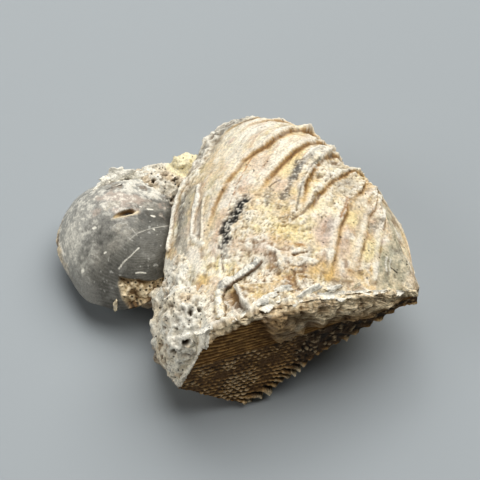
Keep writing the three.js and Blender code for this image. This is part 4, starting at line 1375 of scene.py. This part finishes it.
def makeFinish(name, bump, *values):
    # The piece's own tint through the grain group, its dullness as roughness, and a bump from the grain
    material = bpy.data.materials.new(name)
    material.use_nodes = True
    nodes, links = material.node_tree.nodes, material.node_tree.links
    shader = nodes["Principled BSDF"]
    tint, dull = nodes.new("ShaderNodeAttribute"), nodes.new("ShaderNodeAttribute")
    tint.attribute_name, dull.attribute_name = "tint", "dull"
    grained = nodes.new("ShaderNodeGroup")
    grained.node_tree = grain
    for socket, value in zip(grainValues, values):
        grained.inputs[socket].default_value = value
    relief = nodes.new("ShaderNodeBump")
    relief.inputs["Distance"].default_value = bump * mm
    relief.inputs["Strength"].default_value = 1.0
    links.new(tint.outputs["Color"], grained.inputs["Tint"])
    links.new(grained.outputs["Colour"], shader.inputs["Base Color"])
    links.new(dull.outputs["Fac"], shader.inputs["Roughness"])
    links.new(grained.outputs["Height"], relief.inputs["Height"])
    links.new(relief.outputs["Normal"], shader.inputs["Normal"])
    shader.inputs["Specular IOR Level"].default_value = 0.35
    return material


def dress(piece, material, slot, *nodes):
    # A piece's material and body, and the solids whose place it takes; its slot is not used
    piece.data.materials.clear()
    piece.data.materials.append(material)
    if nodes:
        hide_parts(*nodes)
    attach(piece, "root")


materials = [makeFinish(name, *values) for name, values in finishes.items()]
weathered, darkShell, smoothShell, porousRock, lime = materials

dress(makeUpperValve(upperLook), weathered, "ribbed_shell", "upper_valve")
print("upper valve ready")
dress(makeLowerValve(lowerLook), darkShell, "dark_shell", "lower_valve")
print("lower valve ready")
dress(makeSmallUpper(smallLook), smoothShell, "smooth_shell", "side_shell_upper_valve")
dress(makeSmallLower(smallLowerLook), smoothShell, "smooth_shell_underside", "side_shell_lower_valve")
print("small shell ready")
dress(makeRock(rockLook), porousRock, "pale_rock", "rock_matrix")
print("rock ready")
dress(makeTube(tubeLook), lime, "tube_lime", "worm_tube")
dress(makeFlakes(flakeLook), weathered, "ribbed_shell")
print("tube and flakes ready")

# Table and light

studio = {
    "floor": paint(164, 169, 171),
    "floorSize": 1.6,  # m
    "sky": (0.95, 0.975, 1.0),
    "skyStrength": 0.015,
    "lamps": [  # name, place in m, width in m, power in W
        ("window", (-0.14, 0.42, 0.55), 0.4, 0.9),
        ("ceiling", (0.34, 0.42, 1.12), 1.5, 17.6),
        ("side", (-0.55, -0.1, 0.45), 0.4, 1.0),
        ("fill", (-0.3, -0.55, 0.1), 0.3, 0.6),
    ],
}


def makeFloor(look):
    half = look["floorSize"] / 2
    mesh = bpy.data.meshes.new("table")
    corners = [(-half, -half, 0), (half, -half, 0), (half, half, 0), (-half, half, 0)]
    mesh.from_pydata(corners, [], [(0, 1, 2, 3)])
    material = bpy.data.materials.new("table")
    material.use_nodes = True
    shader = material.node_tree.nodes["Principled BSDF"]
    shader.inputs["Base Color"].default_value = (*look["floor"], 1.0)
    shader.inputs["Roughness"].default_value = 0.8
    shader.inputs["Specular IOR Level"].default_value = 0.2
    mesh.materials.append(material)
    floor = bpy.data.objects.new("table", mesh)
    scene.collection.objects.link(floor)


def makeLight(look):
    world = bpy.data.worlds.new("studio")
    scene.world = world
    world.use_nodes = True
    sky = world.node_tree.nodes["Background"]
    sky.inputs["Color"].default_value = (*look["sky"], 1.0)
    sky.inputs["Strength"].default_value = look["skyStrength"]
    for name, place, width, power in look["lamps"]:  # each faces the origin
        data = bpy.data.lights.new(name, "AREA")
        data.shape, data.size, data.energy = "DISK", width, power
        lamp = bpy.data.objects.new(name, data)
        lamp.location = place
        lamp.rotation_euler = (-Vector(place)).to_track_quat("-Z", "Y").to_euler()
        scene.collection.objects.link(lamp)


makeFloor(studio)
makeLight(studio)
scene.view_settings.view_transform = "Standard"
scene.view_settings.look = "Medium High Contrast"
print("studio ready")
